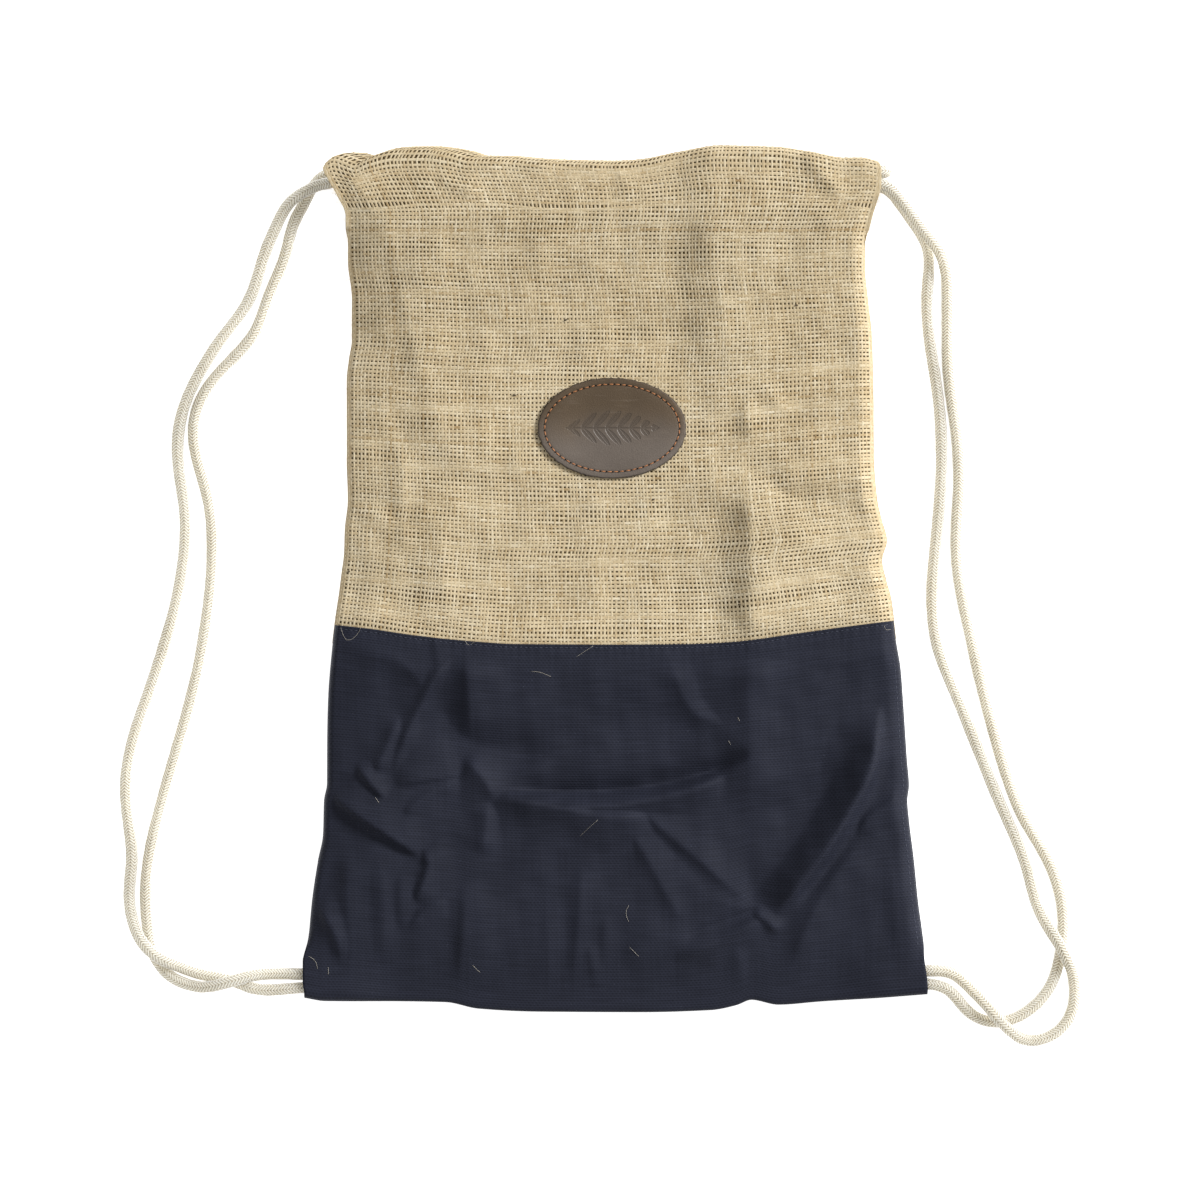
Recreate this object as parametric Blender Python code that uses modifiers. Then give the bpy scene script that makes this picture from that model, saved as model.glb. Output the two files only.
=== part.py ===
"""Drawstring bag of burlap and canvas, lying on its back with two looped carrying cords.

The cloth is modelled as maker's pieces: a burlap front and a burlap back, each with its own
turned-in top hem, a canvas base folded once at the bottom and lapped over both, an oval
leather patch, and two braided cords.  Each cord is caught in a bottom corner, runs up that
side, through the front hem, round the far end and back through the rear hem.

Frame: X to the right of the bag, Y towards its mouth, Z up from the floor it lies on.
Sizes in the tables are millimetres.
"""

from collections import namedtuple

import bpy
import numpy as np

MM = 0.001
OBJECT_NAME = "burlap_bag"

# --- cloth ------------------------------------------------------------------------------
CLOTH = 1.2                       # thickness of either cloth
GAP = 0.3                         # air kept between two pieces that touch
BACK_Z = CLOTH / 2                # middle of a cloth that lies on the floor
PLY_STEP = CLOTH + GAP            # from one ply to the next, middle to middle
LAP = 10.0                        # canvas laid over the burlap at the seam
LAP_EASE = 9.0                    # way in which a lapped cloth comes back down

# --- hem and cords ----------------------------------------------------------------------
CORD_RADIUS = 3.2
HEM_FOLD_RADIUS = 4.3             # middle of the cloth in the turned hem
HEM_LINE = 204.0                  # Y of the hem's stitching
HEM_CLOSE = (205.5, 211.5)        # the flap comes down to the stitching between these
HEM_ENDS = (-133.0, 139.0)        # X where the turned-in flap stops, left and right
MOUTH_GAP = 4.8                   # open mouth between the two flaps
REAR_CORD_Z = BACK_Z + HEM_FOLD_RADIUS
FLAP_TOP = BACK_Z + 2 * HEM_FOLD_RADIUS + CLOTH / 2
FRONT_HEM_Z = FLAP_TOP + MOUTH_GAP + CLOTH / 2 + 2 * HEM_FOLD_RADIUS
FRONT_CORD_Z = FRONT_HEM_Z - HEM_FOLD_RADIUS
UPPER_SLOT_Y = 223.1              # cord nearer the top edge, the left cord
LOWER_SLOT_Y = 215.6              # cord nearer the stitching, the right cord
TURN_RADIUS = (FRONT_CORD_Z - REAR_CORD_Z) / 2
RIGHT_TURN_X = 140.8              # where the left cord starts its turn
LEFT_TURN_X = -135.2              # where the right cord starts its turn
REST_Z = 3.3                      # a cord lying on the floor
OVER_Z = 10.0                     # a cord lying across another

# --- height of the front ----------------------------------------------------------------
BODY_Z = 11.5                     # the front over most of the bag
RIM_Z = BACK_Z + PLY_STEP         # the front at a closed side seam
RIM_FLAT = 2.0
RIM_RISE = 52.0                   # the front is at its full height this far in
FOLD_MARGIN = (4.0, 20.0)
SEAM_CALM = 0.35                  # share of a fold's height that crosses the stitched lap
SEAM_CALM_REACH = (8.0, 24.0)
BOTTOM_RADIUS = 2.4               # fold of the canvas at the bottom, in the middle
CORNER_RADIUS = 4.3               # and at the corners, where the cords go in
CORNER_START = (118.0, 150.0)
BOTTOM_RISE = 34.0

# --- leather patch ----------------------------------------------------------------------
PATCH_CENTRE = (-1.6, 83.0)
PATCH_HALF = (40.5, 27.5)
PATCH_THICK = 1.8
PATCH_SIDES = 48
PATCH_BEVEL = 0.5

# --- outline ----------------------------------------------------------------------------
# (Y, X) of the side seams, bottom to top
LEFT_SIDE = [
    (-229.5, -166.5), (-226.0, -169.8), (-221.0, -171.1), (-209.0, -171.1), (-198.0, -168.3),
    (-176.0, -166.1), (-154.0, -162.8), (-140.0, -160.1), (-121.0, -159.5), (-112.0, -157.9),
    (-88.0, -157.8), (-66.0, -157.3), (-33.0, -154.6), (0.0, -150.2), (15.0, -148.4),
    (28.0, -148.0), (44.0, -146.3), (66.0, -146.9), (110.0, -146.9), (121.0, -145.8),
    (132.0, -144.1), (154.0, -144.1), (176.0, -146.3), (198.0, -146.3), (209.0, -150.7),
    (216.0, -154.6), (224.0, -158.6), (229.0, -159.2), (233.0, -156.0),
]
RIGHT_SIDE = [
    (-228.0, 171.6), (-220.0, 171.1), (-207.0, 169.4), (-198.0, 168.9), (-176.0, 166.1),
    (-154.0, 163.9), (-132.0, 161.2), (-121.0, 160.3), (-113.0, 161.2), (-99.0, 160.1),
    (-66.0, 157.9), (-49.0, 156.6), (-33.0, 154.0), (-10.0, 151.2), (0.0, 148.5),
    (11.0, 146.3), (21.5, 149.1), (34.0, 145.8), (44.0, 143.6), (66.0, 141.9),
    (110.0, 141.4), (132.0, 140.8), (154.0, 138.6), (170.0, 137.0), (184.0, 137.0),
    (198.0, 139.7), (208.0, 142.6), (215.0, 144.2), (228.0, 144.4),
]
# (X, Y) of the top edge, the seam line and the bottom edge, left to right
TOP_EDGE = [
    (-159.0, 229.5), (-153.5, 233.6), (-147.5, 231.6), (-141.4, 229.4), (-136.4, 232.1),
    (-120.0, 236.6), (-105.6, 236.8), (-91.3, 234.9), (-79.2, 231.8), (-60.0, 231.4),
    (-41.2, 229.9), (-4.4, 229.0), (12.1, 230.1), (31.4, 233.8), (56.7, 237.1),
    (88.0, 236.5), (107.3, 233.8), (127.0, 230.6), (136.0, 230.6), (145.0, 228.8),
]
SEAM_LINE = [
    (-153.0, -24.8), (-133.0, -27.0), (-110.6, -30.3), (-73.2, -34.1), (-53.4, -35.2),
    (1.7, -35.5), (39.6, -35.2), (63.3, -34.1), (99.0, -29.5), (122.7, -26.2),
    (153.0, -22.3),
]
BOTTOM_EDGE = [
    (-170.0, -229.6), (-159.0, -231.3), (-118.3, -231.6), (-93.0, -232.1), (-74.8, -235.7),
    (-42.9, -237.3), (14.9, -237.6), (52.3, -236.5), (66.6, -233.8), (74.8, -230.8),
    (89.7, -233.5), (112.2, -231.8), (142.5, -229.8), (171.0, -227.6),
]
# (Y, Z) of the front's middle, and of its side edges, which are open at the hem and
# at the bottom corners
MIDDLE_HEIGHT = [
    (-238.0, 9.6), (-212.0, 9.8), (-185.0, BODY_Z), (110.0, BODY_Z), (130.0, 12.4),
    (152.0, 14.4), (166.0, 16.2), (185.0, 19.5), (203.0, FRONT_HEM_Z), (240.0, FRONT_HEM_Z),
]
CORNER_Z = BACK_Z + 2 * CORNER_RADIUS
EDGE_HEIGHT = [
    (-238.0, CORNER_Z), (-210.0, CORNER_Z), (-192.0, RIM_Z), (184.0, RIM_Z),
    (209.0, FRONT_HEM_Z), (240.0, FRONT_HEM_Z),
]

# --- folds ------------------------------------------------------------------------------
# A fold runs from start to end (X, Y); the cloth rises by height, or sinks if it is
# negative, and is back at its own level about two widths away.
Fold = namedtuple("Fold", "start end width height")
FOLDS = [
    # burlap: two long crush lines from packing, and the short wrinkles at the sides
    Fold((-118, 182), (-98, 88), 13, 2.4),
    Fold((-98, 88), (-84, 48), 11, 2.2),
    Fold((-104, 32), (-94, -26), 10, 1.5),
    Fold((-140, 38), (-92, 36), 8, 1.7),
    Fold((55, 196), (60, 112), 14, 3.0),
    Fold((74, 62), (74, -30), 14, 3.6),
    Fold((86, 42), (144, 58), 10, 2.4),
    Fold((94, 10), (144, 22), 9, 1.3),
    Fold((66, 126), (96, 88), 9, 1.3),
    # canvas, upper part
    Fold((74, -30), (74, -104), 11, 3.4),
    Fold((30, -46), (72, -86), 9, 1.7),
    Fold((-83, -36), (-81, -86), 9, 3.0),
    Fold((-88, -62), (-40, -80), 10, 2.6),
    Fold((-90, -44), (-120, -100), 8, 1.9),
    Fold((126, -44), (102, -98), 9, 1.6),
    # canvas, the long crumple across the middle
    Fold((-122, -114), (-80, -104), 8, 1.6),
    Fold((-80, -102), (-66, -122), 8, 3.0),
    Fold((-66, -118), (-34, -123), 8, 3.2),
    Fold((-34, -123), (14, -122), 9, 3.6),
    Fold((14, -122), (74, -103), 8, 3.4),
    Fold((-66, -110), (14, -110), 8, -2.0),
    Fold((14, -110), (74, -92), 8, -2.0),
    # canvas, left side
    Fold((-150, -122), (-104, -152), 9, 3.6),
    Fold((-104, -152), (-110, -178), 8, 2.8),
    Fold((-142, -102), (-124, -120), 8, 1.8),
    Fold((-120, -134), (-80, -108), 8, 1.6),
    # canvas, right side
    Fold((2, -124), (34, -182), 8, 2.4),
    Fold((8, -120), (76, -179), 8, 2.6),
    Fold((146, -60), (134, -114), 10, 4.0),
    Fold((134, -114), (88, -184), 10, 4.2),
    Fold((138, -140), (96, -218), 8, 1.9),
    Fold((38, -204), (82, -184), 8, 2.4),
    Fold((134, -140), (158, -116), 8, 1.6),
    # canvas, soft pleats above the bottom fold
    Fold((-82, -164), (-86, -226), 10, 1.8),
    Fold((-18, -152), (-24, -228), 9, 1.5),
    Fold((-14, -196), (-4, -228), 8, 1.4),
]

# --- cord routes ------------------------------------------------------------------------
# Middle of the cord.  Each strand is listed from the hem's end down to the corner.
LEFT_FRONT_STRAND = [
    (-137.0, 223.1, FRONT_CORD_Z), (-146.2, 222.4, FRONT_CORD_Z - 0.2), (-154.0, 217.6, 16.2),
    (-161.7, 216.0, 11.8), (-169.4, 212.9, OVER_Z), (-176.0, 208.7, 8.8), (-181.3, 203.2, 5.2),
    (-186.2, 194.0, REST_Z), (-192.5, 178.8, REST_Z), (-201.5, 153.0, REST_Z),
    (-213.6, 135.9, REST_Z), (-226.8, 116.1, REST_Z), (-237.2, 93.5, REST_Z),
    (-240.2, 68.0, REST_Z), (-236.6, 40.0, REST_Z), (-237.1, 11.0, REST_Z),
    (-243.7, -22.0, REST_Z), (-257.7, -66.0, REST_Z), (-267.4, -99.0, REST_Z),
    (-268.2, -126.0, REST_Z), (-265.4, -152.0, REST_Z), (-266.7, -176.0, REST_Z + 0.3),
    (-263.2, -190.5, 7.2), (-257.8, -199.8, OVER_Z), (-249.6, -207.0, OVER_Z),
    (-240.2, -211.6, 5.6), (-228.7, -216.1, REST_Z), (-210.5, -220.0, REST_Z),
    (-199.0, -224.2, REST_Z), (-186.0, -225.0, 3.8), (-172.0, -223.8, 4.9),
    (-160.0, -223.6, 4.9),
]
LEFT_REAR_STRAND = [
    (-137.0, 223.1, REAR_CORD_Z), (-152.0, 223.4, REAR_CORD_Z), (-160.2, 221.6, 4.7),
    (-165.6, 216.4, 3.6), (-169.6, 209.0, REST_Z), (-176.3, 196.1, REST_Z),
    (-181.2, 178.0, REST_Z), (-189.8, 156.8, REST_Z), (-198.6, 134.8, REST_Z),
    (-217.3, 113.9, REST_Z), (-229.9, 92.2, REST_Z), (-231.3, 77.0, REST_Z),
    (-224.4, 48.4, REST_Z), (-221.2, 22.0, REST_Z), (-223.0, -11.0, REST_Z),
    (-233.2, -66.0, REST_Z), (-242.6, -99.0, REST_Z), (-251.6, -132.0, REST_Z),
    (-257.6, -168.0, REST_Z), (-256.6, -190.0, REST_Z), (-252.8, -206.6, REST_Z),
    (-243.4, -218.0, REST_Z), (-234.0, -222.2, 4.1), (-225.0, -223.2, 7.4),
    (-216.4, -221.5, OVER_Z), (-207.5, -219.0, OVER_Z), (-198.6, -216.9, 7.0),
    (-187.0, -216.2, 3.8), (-171.0, -216.3, 4.9), (-160.0, -216.3, 4.9),
]
RIGHT_FRONT_STRAND = [
    (141.0, 215.6, FRONT_CORD_Z), (148.2, 214.9, 18.0), (153.4, 210.9, 15.2),
    (161.7, 200.8, 11.9), (168.9, 190.9, OVER_Z + 0.2), (176.4, 181.7, OVER_Z),
    (181.0, 170.8, 7.2), (182.4, 158.0, 3.7), (182.3, 130.0, REST_Z), (183.9, 105.0, REST_Z),
    (187.8, 77.0, REST_Z), (188.8, 55.0, REST_Z), (187.3, 14.0, REST_Z),
    (192.6, -20.0, REST_Z), (203.2, -66.0, REST_Z), (212.3, -99.0, REST_Z),
    (225.0, -132.0, REST_Z), (238.2, -155.0, REST_Z), (245.3, -178.0, REST_Z),
    (244.9, -203.0, REST_Z), (238.2, -224.4, REST_Z), (225.5, -237.4, REST_Z),
    (209.0, -242.7, REST_Z), (193.6, -236.6, REST_Z), (183.0, -225.2, 3.8),
    (171.6, -221.7, 4.9), (160.0, -221.6, 4.9),
]
RIGHT_REAR_STRAND = [
    (141.0, 215.6, REAR_CORD_Z), (148.2, 214.7, 4.8), (153.6, 210.2, 4.0),
    (162.0, 199.0, REST_Z), (171.4, 182.6, REST_Z), (171.6, 160.6, REST_Z),
    (171.6, 142.0, REST_Z), (176.4, 107.8, REST_Z), (179.2, 75.0, REST_Z),
    (176.3, 22.0, REST_Z), (174.1, -6.0, REST_Z), (177.0, -36.0, REST_Z),
    (188.4, -66.0, REST_Z), (201.6, -99.0, REST_Z), (215.6, -132.0, REST_Z),
    (226.0, -158.0, REST_Z), (231.4, -178.0, 3.6), (236.4, -188.6, 7.2),
    (242.0, -197.6, OVER_Z), (247.0, -206.6, OVER_Z), (250.8, -215.2, 6.0),
    (252.5, -226.0, REST_Z), (249.0, -241.0, REST_Z), (238.2, -250.8, REST_Z),
    (226.5, -252.6, 3.9), (217.0, -247.4, 9.0), (210.0, -240.6, OVER_Z + 0.2),
    (204.0, -233.4, 8.0), (195.2, -224.2, REST_Z + 0.2), (184.6, -215.9, 3.7),
    (171.6, -214.4, 4.9), (160.0, -214.4, 4.9),
]
HEM_STATIONS = 7                  # places that hold a cord straight inside the hem
HEM_LEAD = 12.0                   # the first of them, past the hem's open end
ROUTE_STEP = 1.0                  # the smooth route is read this finely first
TUBE_MAX_TURN = 0.29              # then a point is kept after this turn in radians
TUBE_MAX_GAP = 44.0               # or after this length

# --- meshing: rows along the cloth, and columns across ----------------------------------
FRONT_COLUMNS = 28                # shared by burlap and canvas, so that the lap stays even
BACK_COLUMNS = 16


# ========================================================================================
# curves and ramps
# ========================================================================================
def smooth_table(table, at):
    """Value of a two-column table at the places in `at`, on a curve that never overshoots."""
    xs = np.array([row[0] for row in table], float)
    ys = np.array([row[1] for row in table], float)
    secant = np.diff(ys) / np.diff(xs)
    product = secant[:-1] * secant[1:]
    total = secant[:-1] + secant[1:]
    inner = np.where(product > 0, 2 * product / np.where(product > 0, total, 1.0), 0.0)
    slope = np.concatenate([[secant[0]], inner, [secant[-1]]])
    at = np.clip(np.asarray(at, float), xs[0], xs[-1])
    k = np.clip(np.searchsorted(xs, at) - 1, 0, len(xs) - 2)
    span = xs[k + 1] - xs[k]
    t = (at - xs[k]) / span
    ease = t * t * (3 - 2 * t)
    leave = t * (1 - t) * (1 - t) * span * slope[k]
    arrive = -t * t * (1 - t) * span * slope[k + 1]
    return ys[k] * (1 - ease) + ys[k + 1] * ease + leave + arrive


def ramp(value, start, end):
    """Soft step from 0 at start to 1 at end."""
    t = np.clip((np.asarray(value, float) - start) / (end - start), 0.0, 1.0)
    return t * t * (3 - 2 * t)


def blend(a, b, t):
    return a + (b - a) * t


def smooth_route(points):
    """Natural cubic curve through the points, read every ROUTE_STEP."""
    knots = np.array(points, float)
    chord = np.linalg.norm(np.diff(knots, axis=0), axis=1)
    length = np.concatenate([[0.0], np.cumsum(chord)])
    count = len(knots)
    system = np.eye(count)
    right_side = np.zeros((count, 3))
    for i in range(1, count - 1):
        system[i, i - 1] = chord[i - 1]
        system[i, i] = 2 * (chord[i - 1] + chord[i])
        system[i, i + 1] = chord[i]
        after = (knots[i + 1] - knots[i]) / chord[i]
        before = (knots[i] - knots[i - 1]) / chord[i - 1]
        right_side[i] = 6 * (after - before)
    bend = np.linalg.solve(system, right_side)
    at = np.linspace(0.0, length[-1], int(length[-1] / ROUTE_STEP) + 1)
    k = np.clip(np.searchsorted(length, at) - 1, 0, count - 2)
    span = chord[k][:, None]
    a = (length[k + 1] - at)[:, None] / span
    b = 1 - a
    curve = a * knots[k] + b * knots[k + 1]
    curve += ((a**3 - a) * bend[k] + (b**3 - b) * bend[k + 1]) * span**2 / 6
    curve[:, 2] = np.maximum(curve[:, 2], REST_Z)
    return curve


def thin_out(curve):
    """Keep the points that the tube needs: closer together where it bends."""
    kept = [0]
    heading = curve[1] - curve[0]
    for i in range(1, len(curve) - 1):
        step = curve[i + 1] - curve[i]
        cosine = np.dot(heading, step) / (np.linalg.norm(heading) * np.linalg.norm(step))
        turned = np.arccos(np.clip(cosine, -1.0, 1.0))
        travelled = np.linalg.norm(curve[i] - curve[kept[-1]])
        if turned > TUBE_MAX_TURN or travelled > TUBE_MAX_GAP:
            kept.append(i)
            heading = step
    kept.append(len(curve) - 1)
    return curve[kept]


# ========================================================================================
# the cloth's shape
# ========================================================================================
def side_x(y, u):
    """X at the share u of the way from the left seam to the right one."""
    return blend(smooth_table(LEFT_SIDE, y), smooth_table(RIGHT_SIDE, y), u)


def lap_height(x, y, ease_down):
    """1 where canvas and burlap lie on each other, easing off on the side asked for."""
    above_seam = y - smooth_table(SEAM_LINE, x)
    if ease_down:
        return ramp(above_seam, -LAP - LAP_EASE - 1, -LAP - 1)
    return 1 - ramp(above_seam, 1, 1 + LAP_EASE)


def fold_height(x, y):
    """Highest ridge plus deepest trough at each place."""
    ridge = np.zeros_like(x)
    trough = np.zeros_like(x)
    for fold in FOLDS:
        ax, ay = fold.start
        dx = fold.end[0] - ax
        dy = fold.end[1] - ay
        along = np.clip(((x - ax) * dx + (y - ay) * dy) / (dx * dx + dy * dy), 0, 1)
        off = np.hypot(x - ax - along * dx, y - ay - along * dy)
        height = fold.height * np.exp(-((off / fold.width) ** 2))
        ridge = np.maximum(ridge, height)
        trough = np.minimum(trough, height)
    patch = np.hypot((x - PATCH_CENTRE[0]) / PATCH_HALF[0], (y - PATCH_CENTRE[1]) / PATCH_HALF[1])
    from_lap = np.abs(y - smooth_table(SEAM_LINE, x) + LAP / 2)
    calm = blend(SEAM_CALM, 1.0, ramp(from_lap, *SEAM_CALM_REACH))
    return (ridge + trough) * ramp(patch, 1.05, 1.5) * calm


def bottom_radius(x):
    return blend(BOTTOM_RADIUS, CORNER_RADIUS, ramp(np.abs(x), *CORNER_START))


def front_height(x, y):
    """Middle of the front cloth, without the step of the lap."""
    inside = np.minimum(x - smooth_table(LEFT_SIDE, y), smooth_table(RIGHT_SIDE, y) - x)
    crown = np.clip((inside - RIM_FLAT) / RIM_RISE, 0, 1)
    rise = crown * (2 - crown)
    edge = np.interp(y, *zip(*EDGE_HEIGHT))
    level = blend(edge, smooth_table(MIDDLE_HEIGHT, y), rise)
    below_hem = 1 - ramp(y, 186, 202)
    level = level + fold_height(x, y) * ramp(inside, *FOLD_MARGIN) * below_hem
    radius = bottom_radius(x)
    fold_start = smooth_table(BOTTOM_EDGE, x) + CLOTH / 2 + radius
    lifted = ramp(y - fold_start, 0, BOTTOM_RISE)
    return blend(BACK_Z + 2 * radius, level, lifted)


def burlap_sheet(u, path, front):
    """Point of a burlap piece.

    path runs 0..1 from the lapped edge to the hem's stitching, 1..2 to the top fold,
    2..3 round it, and 3..4 down the turned-in flap.
    """
    body = np.clip(path, 0, 1)
    hem = np.clip(path - 1, 0, 1)
    turn = np.clip(path - 2, 0, 1) * np.pi
    flap = np.clip(path - 3, 0, 1)
    y = blend(blend(-45.0, HEM_LINE, body), 225.0, hem)
    for _ in range(3):
        x = side_x(y, u)
        top = smooth_table(TOP_EDGE, x) - CLOTH / 2 - HEM_FOLD_RADIUS
        low = smooth_table(SEAM_LINE, x) - LAP
        y = blend(blend(low, HEM_LINE, body), top, hem)
    sheet_y = y
    flap_x = blend(HEM_ENDS[0], HEM_ENDS[1], u)
    x = blend(x, flap_x, (1 - np.cos(turn)) / 2)
    if front:
        lap = lap_height(x, y, ease_down=False)
        z = front_height(x, y) + PLY_STEP * lap
    else:
        z = BACK_Z + PLY_STEP * lap_height(x, y, ease_down=False)
        top = top - 0.6
    inward = -1.0 if front else 1.0
    y = np.where(path > 2, top + HEM_FOLD_RADIUS * np.sin(turn), sheet_y)
    y = np.where(path > 3, blend(top, HEM_LINE + 0.5, flap), y)
    clearance = blend(PLY_STEP, 2 * HEM_FOLD_RADIUS, ramp(y, *HEM_CLOSE))
    z = z + inward * HEM_FOLD_RADIUS * (1 - np.cos(turn))
    z = np.where(path > 3, z + inward * (clearance - 2 * HEM_FOLD_RADIUS), z)
    return np.stack([x, y, z], axis=-1)


def burlap_front_point(u, path):
    return burlap_sheet(u, path, front=True)


def burlap_back_point(u, path):
    return burlap_sheet(u, path, front=False)


def canvas_point(u, path):
    """path runs 0..1 down the front, 1..2 round the bottom fold, 2..3 up the back."""
    down = np.clip(path, 0, 1)
    turn = np.clip(path - 1, 0, 1) * np.pi
    up = np.clip(path - 2, 0, 1)
    y = blend(-33.0, -232.0, down)
    for _ in range(3):
        x = side_x(y, u)
        radius = bottom_radius(x)
        seam = smooth_table(SEAM_LINE, x)
        fold = smooth_table(BOTTOM_EDGE, x) + CLOTH / 2 + radius
        y = blend(seam, fold, down)
        y = np.where(path > 2, blend(fold, seam, up), y)
    lap = lap_height(x, y, ease_down=True)
    z = front_height(x, y) + 2 * PLY_STEP * lap
    y = np.where((path > 1) & (path <= 2), fold - radius * np.sin(turn), y)
    z = np.where(path > 1, BACK_Z + radius * (1 + np.cos(turn)), z)
    z = np.where(path > 2, BACK_Z, z)
    return np.stack([x, y, z], axis=-1)


# ========================================================================================
# building
# ========================================================================================
def clear_scene():
    for item in list(bpy.data.objects):
        bpy.data.objects.remove(item, do_unlink=True)


def material(name, colour, roughness, metallic=0.0):
    made = bpy.data.materials.new(name)
    made.use_nodes = True
    shader = made.node_tree.nodes["Principled BSDF"]
    shader.inputs["Base Color"].default_value = (*colour, 1.0)
    shader.inputs["Roughness"].default_value = roughness
    shader.inputs["Metallic"].default_value = metallic
    return made


def place(item, name, finish, collection):
    item.name = name
    item.data.materials.append(finish)
    for owner in list(item.users_collection):
        owner.objects.unlink(item)
    collection.objects.link(item)
    return item


def rows(*spans):
    """Rows of a sheet from (start, end, count) spans of its path."""
    parts = [np.linspace(start, end, count + 1)[:-1] for start, end, count in spans]
    return np.append(np.concatenate(parts), spans[-1][1])


def sheet(name, point, columns, path, finish, collection):
    """A grid laid along the cloth's path and given its thickness."""
    bpy.ops.mesh.primitive_grid_add(x_subdivisions=columns, y_subdivisions=len(path) - 1, size=1)
    item = bpy.context.object
    count = len(item.data.vertices)
    flat = np.empty(count * 3)
    item.data.vertices.foreach_get("co", flat)
    flat = flat.reshape(count, 3)
    u = flat[:, 0] + 0.5
    row = np.rint((flat[:, 1] + 0.5) * (len(path) - 1)).astype(int)
    shaped = point(u, path[row]) * MM
    item.data.vertices.foreach_set("co", shaped.ravel())
    item.data.update()
    item.data.shade_smooth()
    solid = item.modifiers.new("thickness", "SOLIDIFY")
    solid.thickness = CLOTH * MM
    solid.offset = 0.0
    return place(item, name, finish, collection)


def leather_patch(finish, collection):
    under = front_height(np.array([PATCH_CENTRE[0]]), np.array([PATCH_CENTRE[1]]))[0]
    middle_z = under + CLOTH / 2 + GAP + PATCH_THICK / 2
    bpy.ops.mesh.primitive_cylinder_add(
        vertices=PATCH_SIDES,
        radius=1.0,
        depth=PATCH_THICK * MM,
        location=(PATCH_CENTRE[0] * MM, PATCH_CENTRE[1] * MM, middle_z * MM),
    )
    item = bpy.context.object
    item.scale = (PATCH_HALF[0] * MM, PATCH_HALF[1] * MM, 1.0)
    bpy.ops.object.transform_apply(location=False, rotation=False, scale=True)
    edge = item.modifiers.new("worn_edge", "BEVEL")
    edge.width = PATCH_BEVEL * MM
    edge.segments = 2
    edge.limit_method = "ANGLE"
    return place(item, "leather_patch", finish, collection)


def hem_turn(x, y, direction):
    """Half circle from the front hem down to the rear one, round the hem's end."""
    middle_z = (FRONT_CORD_Z + REAR_CORD_Z) / 2
    angles = np.linspace(0, np.pi, 7)[1:-1]
    return [
        (x + direction * TURN_RADIUS * np.sin(a), y, middle_z + TURN_RADIUS * np.cos(a))
        for a in angles
    ]


def whole_cord(front_strand, rear_strand, turn_x, y, direction):
    """Route of one cord, corner to corner, through both hems."""
    entry_x = front_strand[0][0] + direction * HEM_LEAD
    stations = np.linspace(entry_x, turn_x - direction * CORD_RADIUS, HEM_STATIONS)
    stations = np.append(stations, turn_x)
    front_run = [(x, y, FRONT_CORD_Z) for x in stations]
    rear_run = [(x, y, REAR_CORD_Z) for x in stations[::-1]]
    turn = hem_turn(turn_x, y, direction)
    return front_strand[::-1] + front_run + turn + rear_run + rear_strand


def cord(name, route, finish, collection):
    points = thin_out(smooth_route(route)) * MM
    line = bpy.data.curves.new(name, "CURVE")
    line.dimensions = "3D"
    line.bevel_depth = CORD_RADIUS * MM
    line.bevel_resolution = 2
    line.use_fill_caps = True
    spline = line.splines.new("POLY")
    spline.points.add(len(points) - 1)
    for target, point in zip(spline.points, points):
        target.co = (*point, 1.0)
    item = bpy.data.objects.new(name, line)
    bpy.context.scene.collection.objects.link(item)
    return place(item, name, finish, collection)


def build():
    clear_scene()
    collection = bpy.data.collections.new(OBJECT_NAME)
    bpy.context.scene.collection.children.link(collection)
    burlap = material("burlap", (0.50, 0.36, 0.20), 0.95)
    canvas = material("navy_canvas", (0.020, 0.026, 0.045), 0.85)
    leather = material("brown_leather", (0.115, 0.070, 0.045), 0.5)
    cotton = material("cotton_cord", (0.80, 0.75, 0.63), 0.9)
    front_rows = rows((0, 0.08, 4), (0.08, 1, 21), (1, 2, 4), (2, 3, 5), (3, 4, 7))
    back_rows = rows((0, 0.1, 4), (0.1, 1, 8), (1, 2, 3), (2, 3, 5), (3, 4, 7))
    canvas_rows = rows((0, 0.12, 4), (0.12, 1, 20), (1, 2, 4), (2, 3, 7))
    sheet("burlap_front", burlap_front_point, FRONT_COLUMNS, front_rows, burlap, collection)
    sheet("burlap_back", burlap_back_point, BACK_COLUMNS, back_rows, burlap, collection)
    sheet("canvas_base", canvas_point, FRONT_COLUMNS, canvas_rows, canvas, collection)
    leather_patch(leather, collection)
    left = whole_cord(LEFT_FRONT_STRAND, LEFT_REAR_STRAND, RIGHT_TURN_X, UPPER_SLOT_Y, 1)
    right = whole_cord(RIGHT_FRONT_STRAND, RIGHT_REAR_STRAND, LEFT_TURN_X, LOWER_SLOT_Y, -1)
    cord("cord_left", left, cotton, collection)
    cord("cord_right", right, cotton, collection)


build()
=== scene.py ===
"""Drawstring bag of burlap and navy canvas, laid flat on its back and seen from above.

The burlap is woven from separate jute yarns, which cross over and under each other along the
folds of the cloth.  The canvas is one fine sheet with its creases, the cords are braided tubes,
and the leather patch is sewn on with single stitches.  Tables and sizes are millimetres.
"""

from collections import namedtuple

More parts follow.
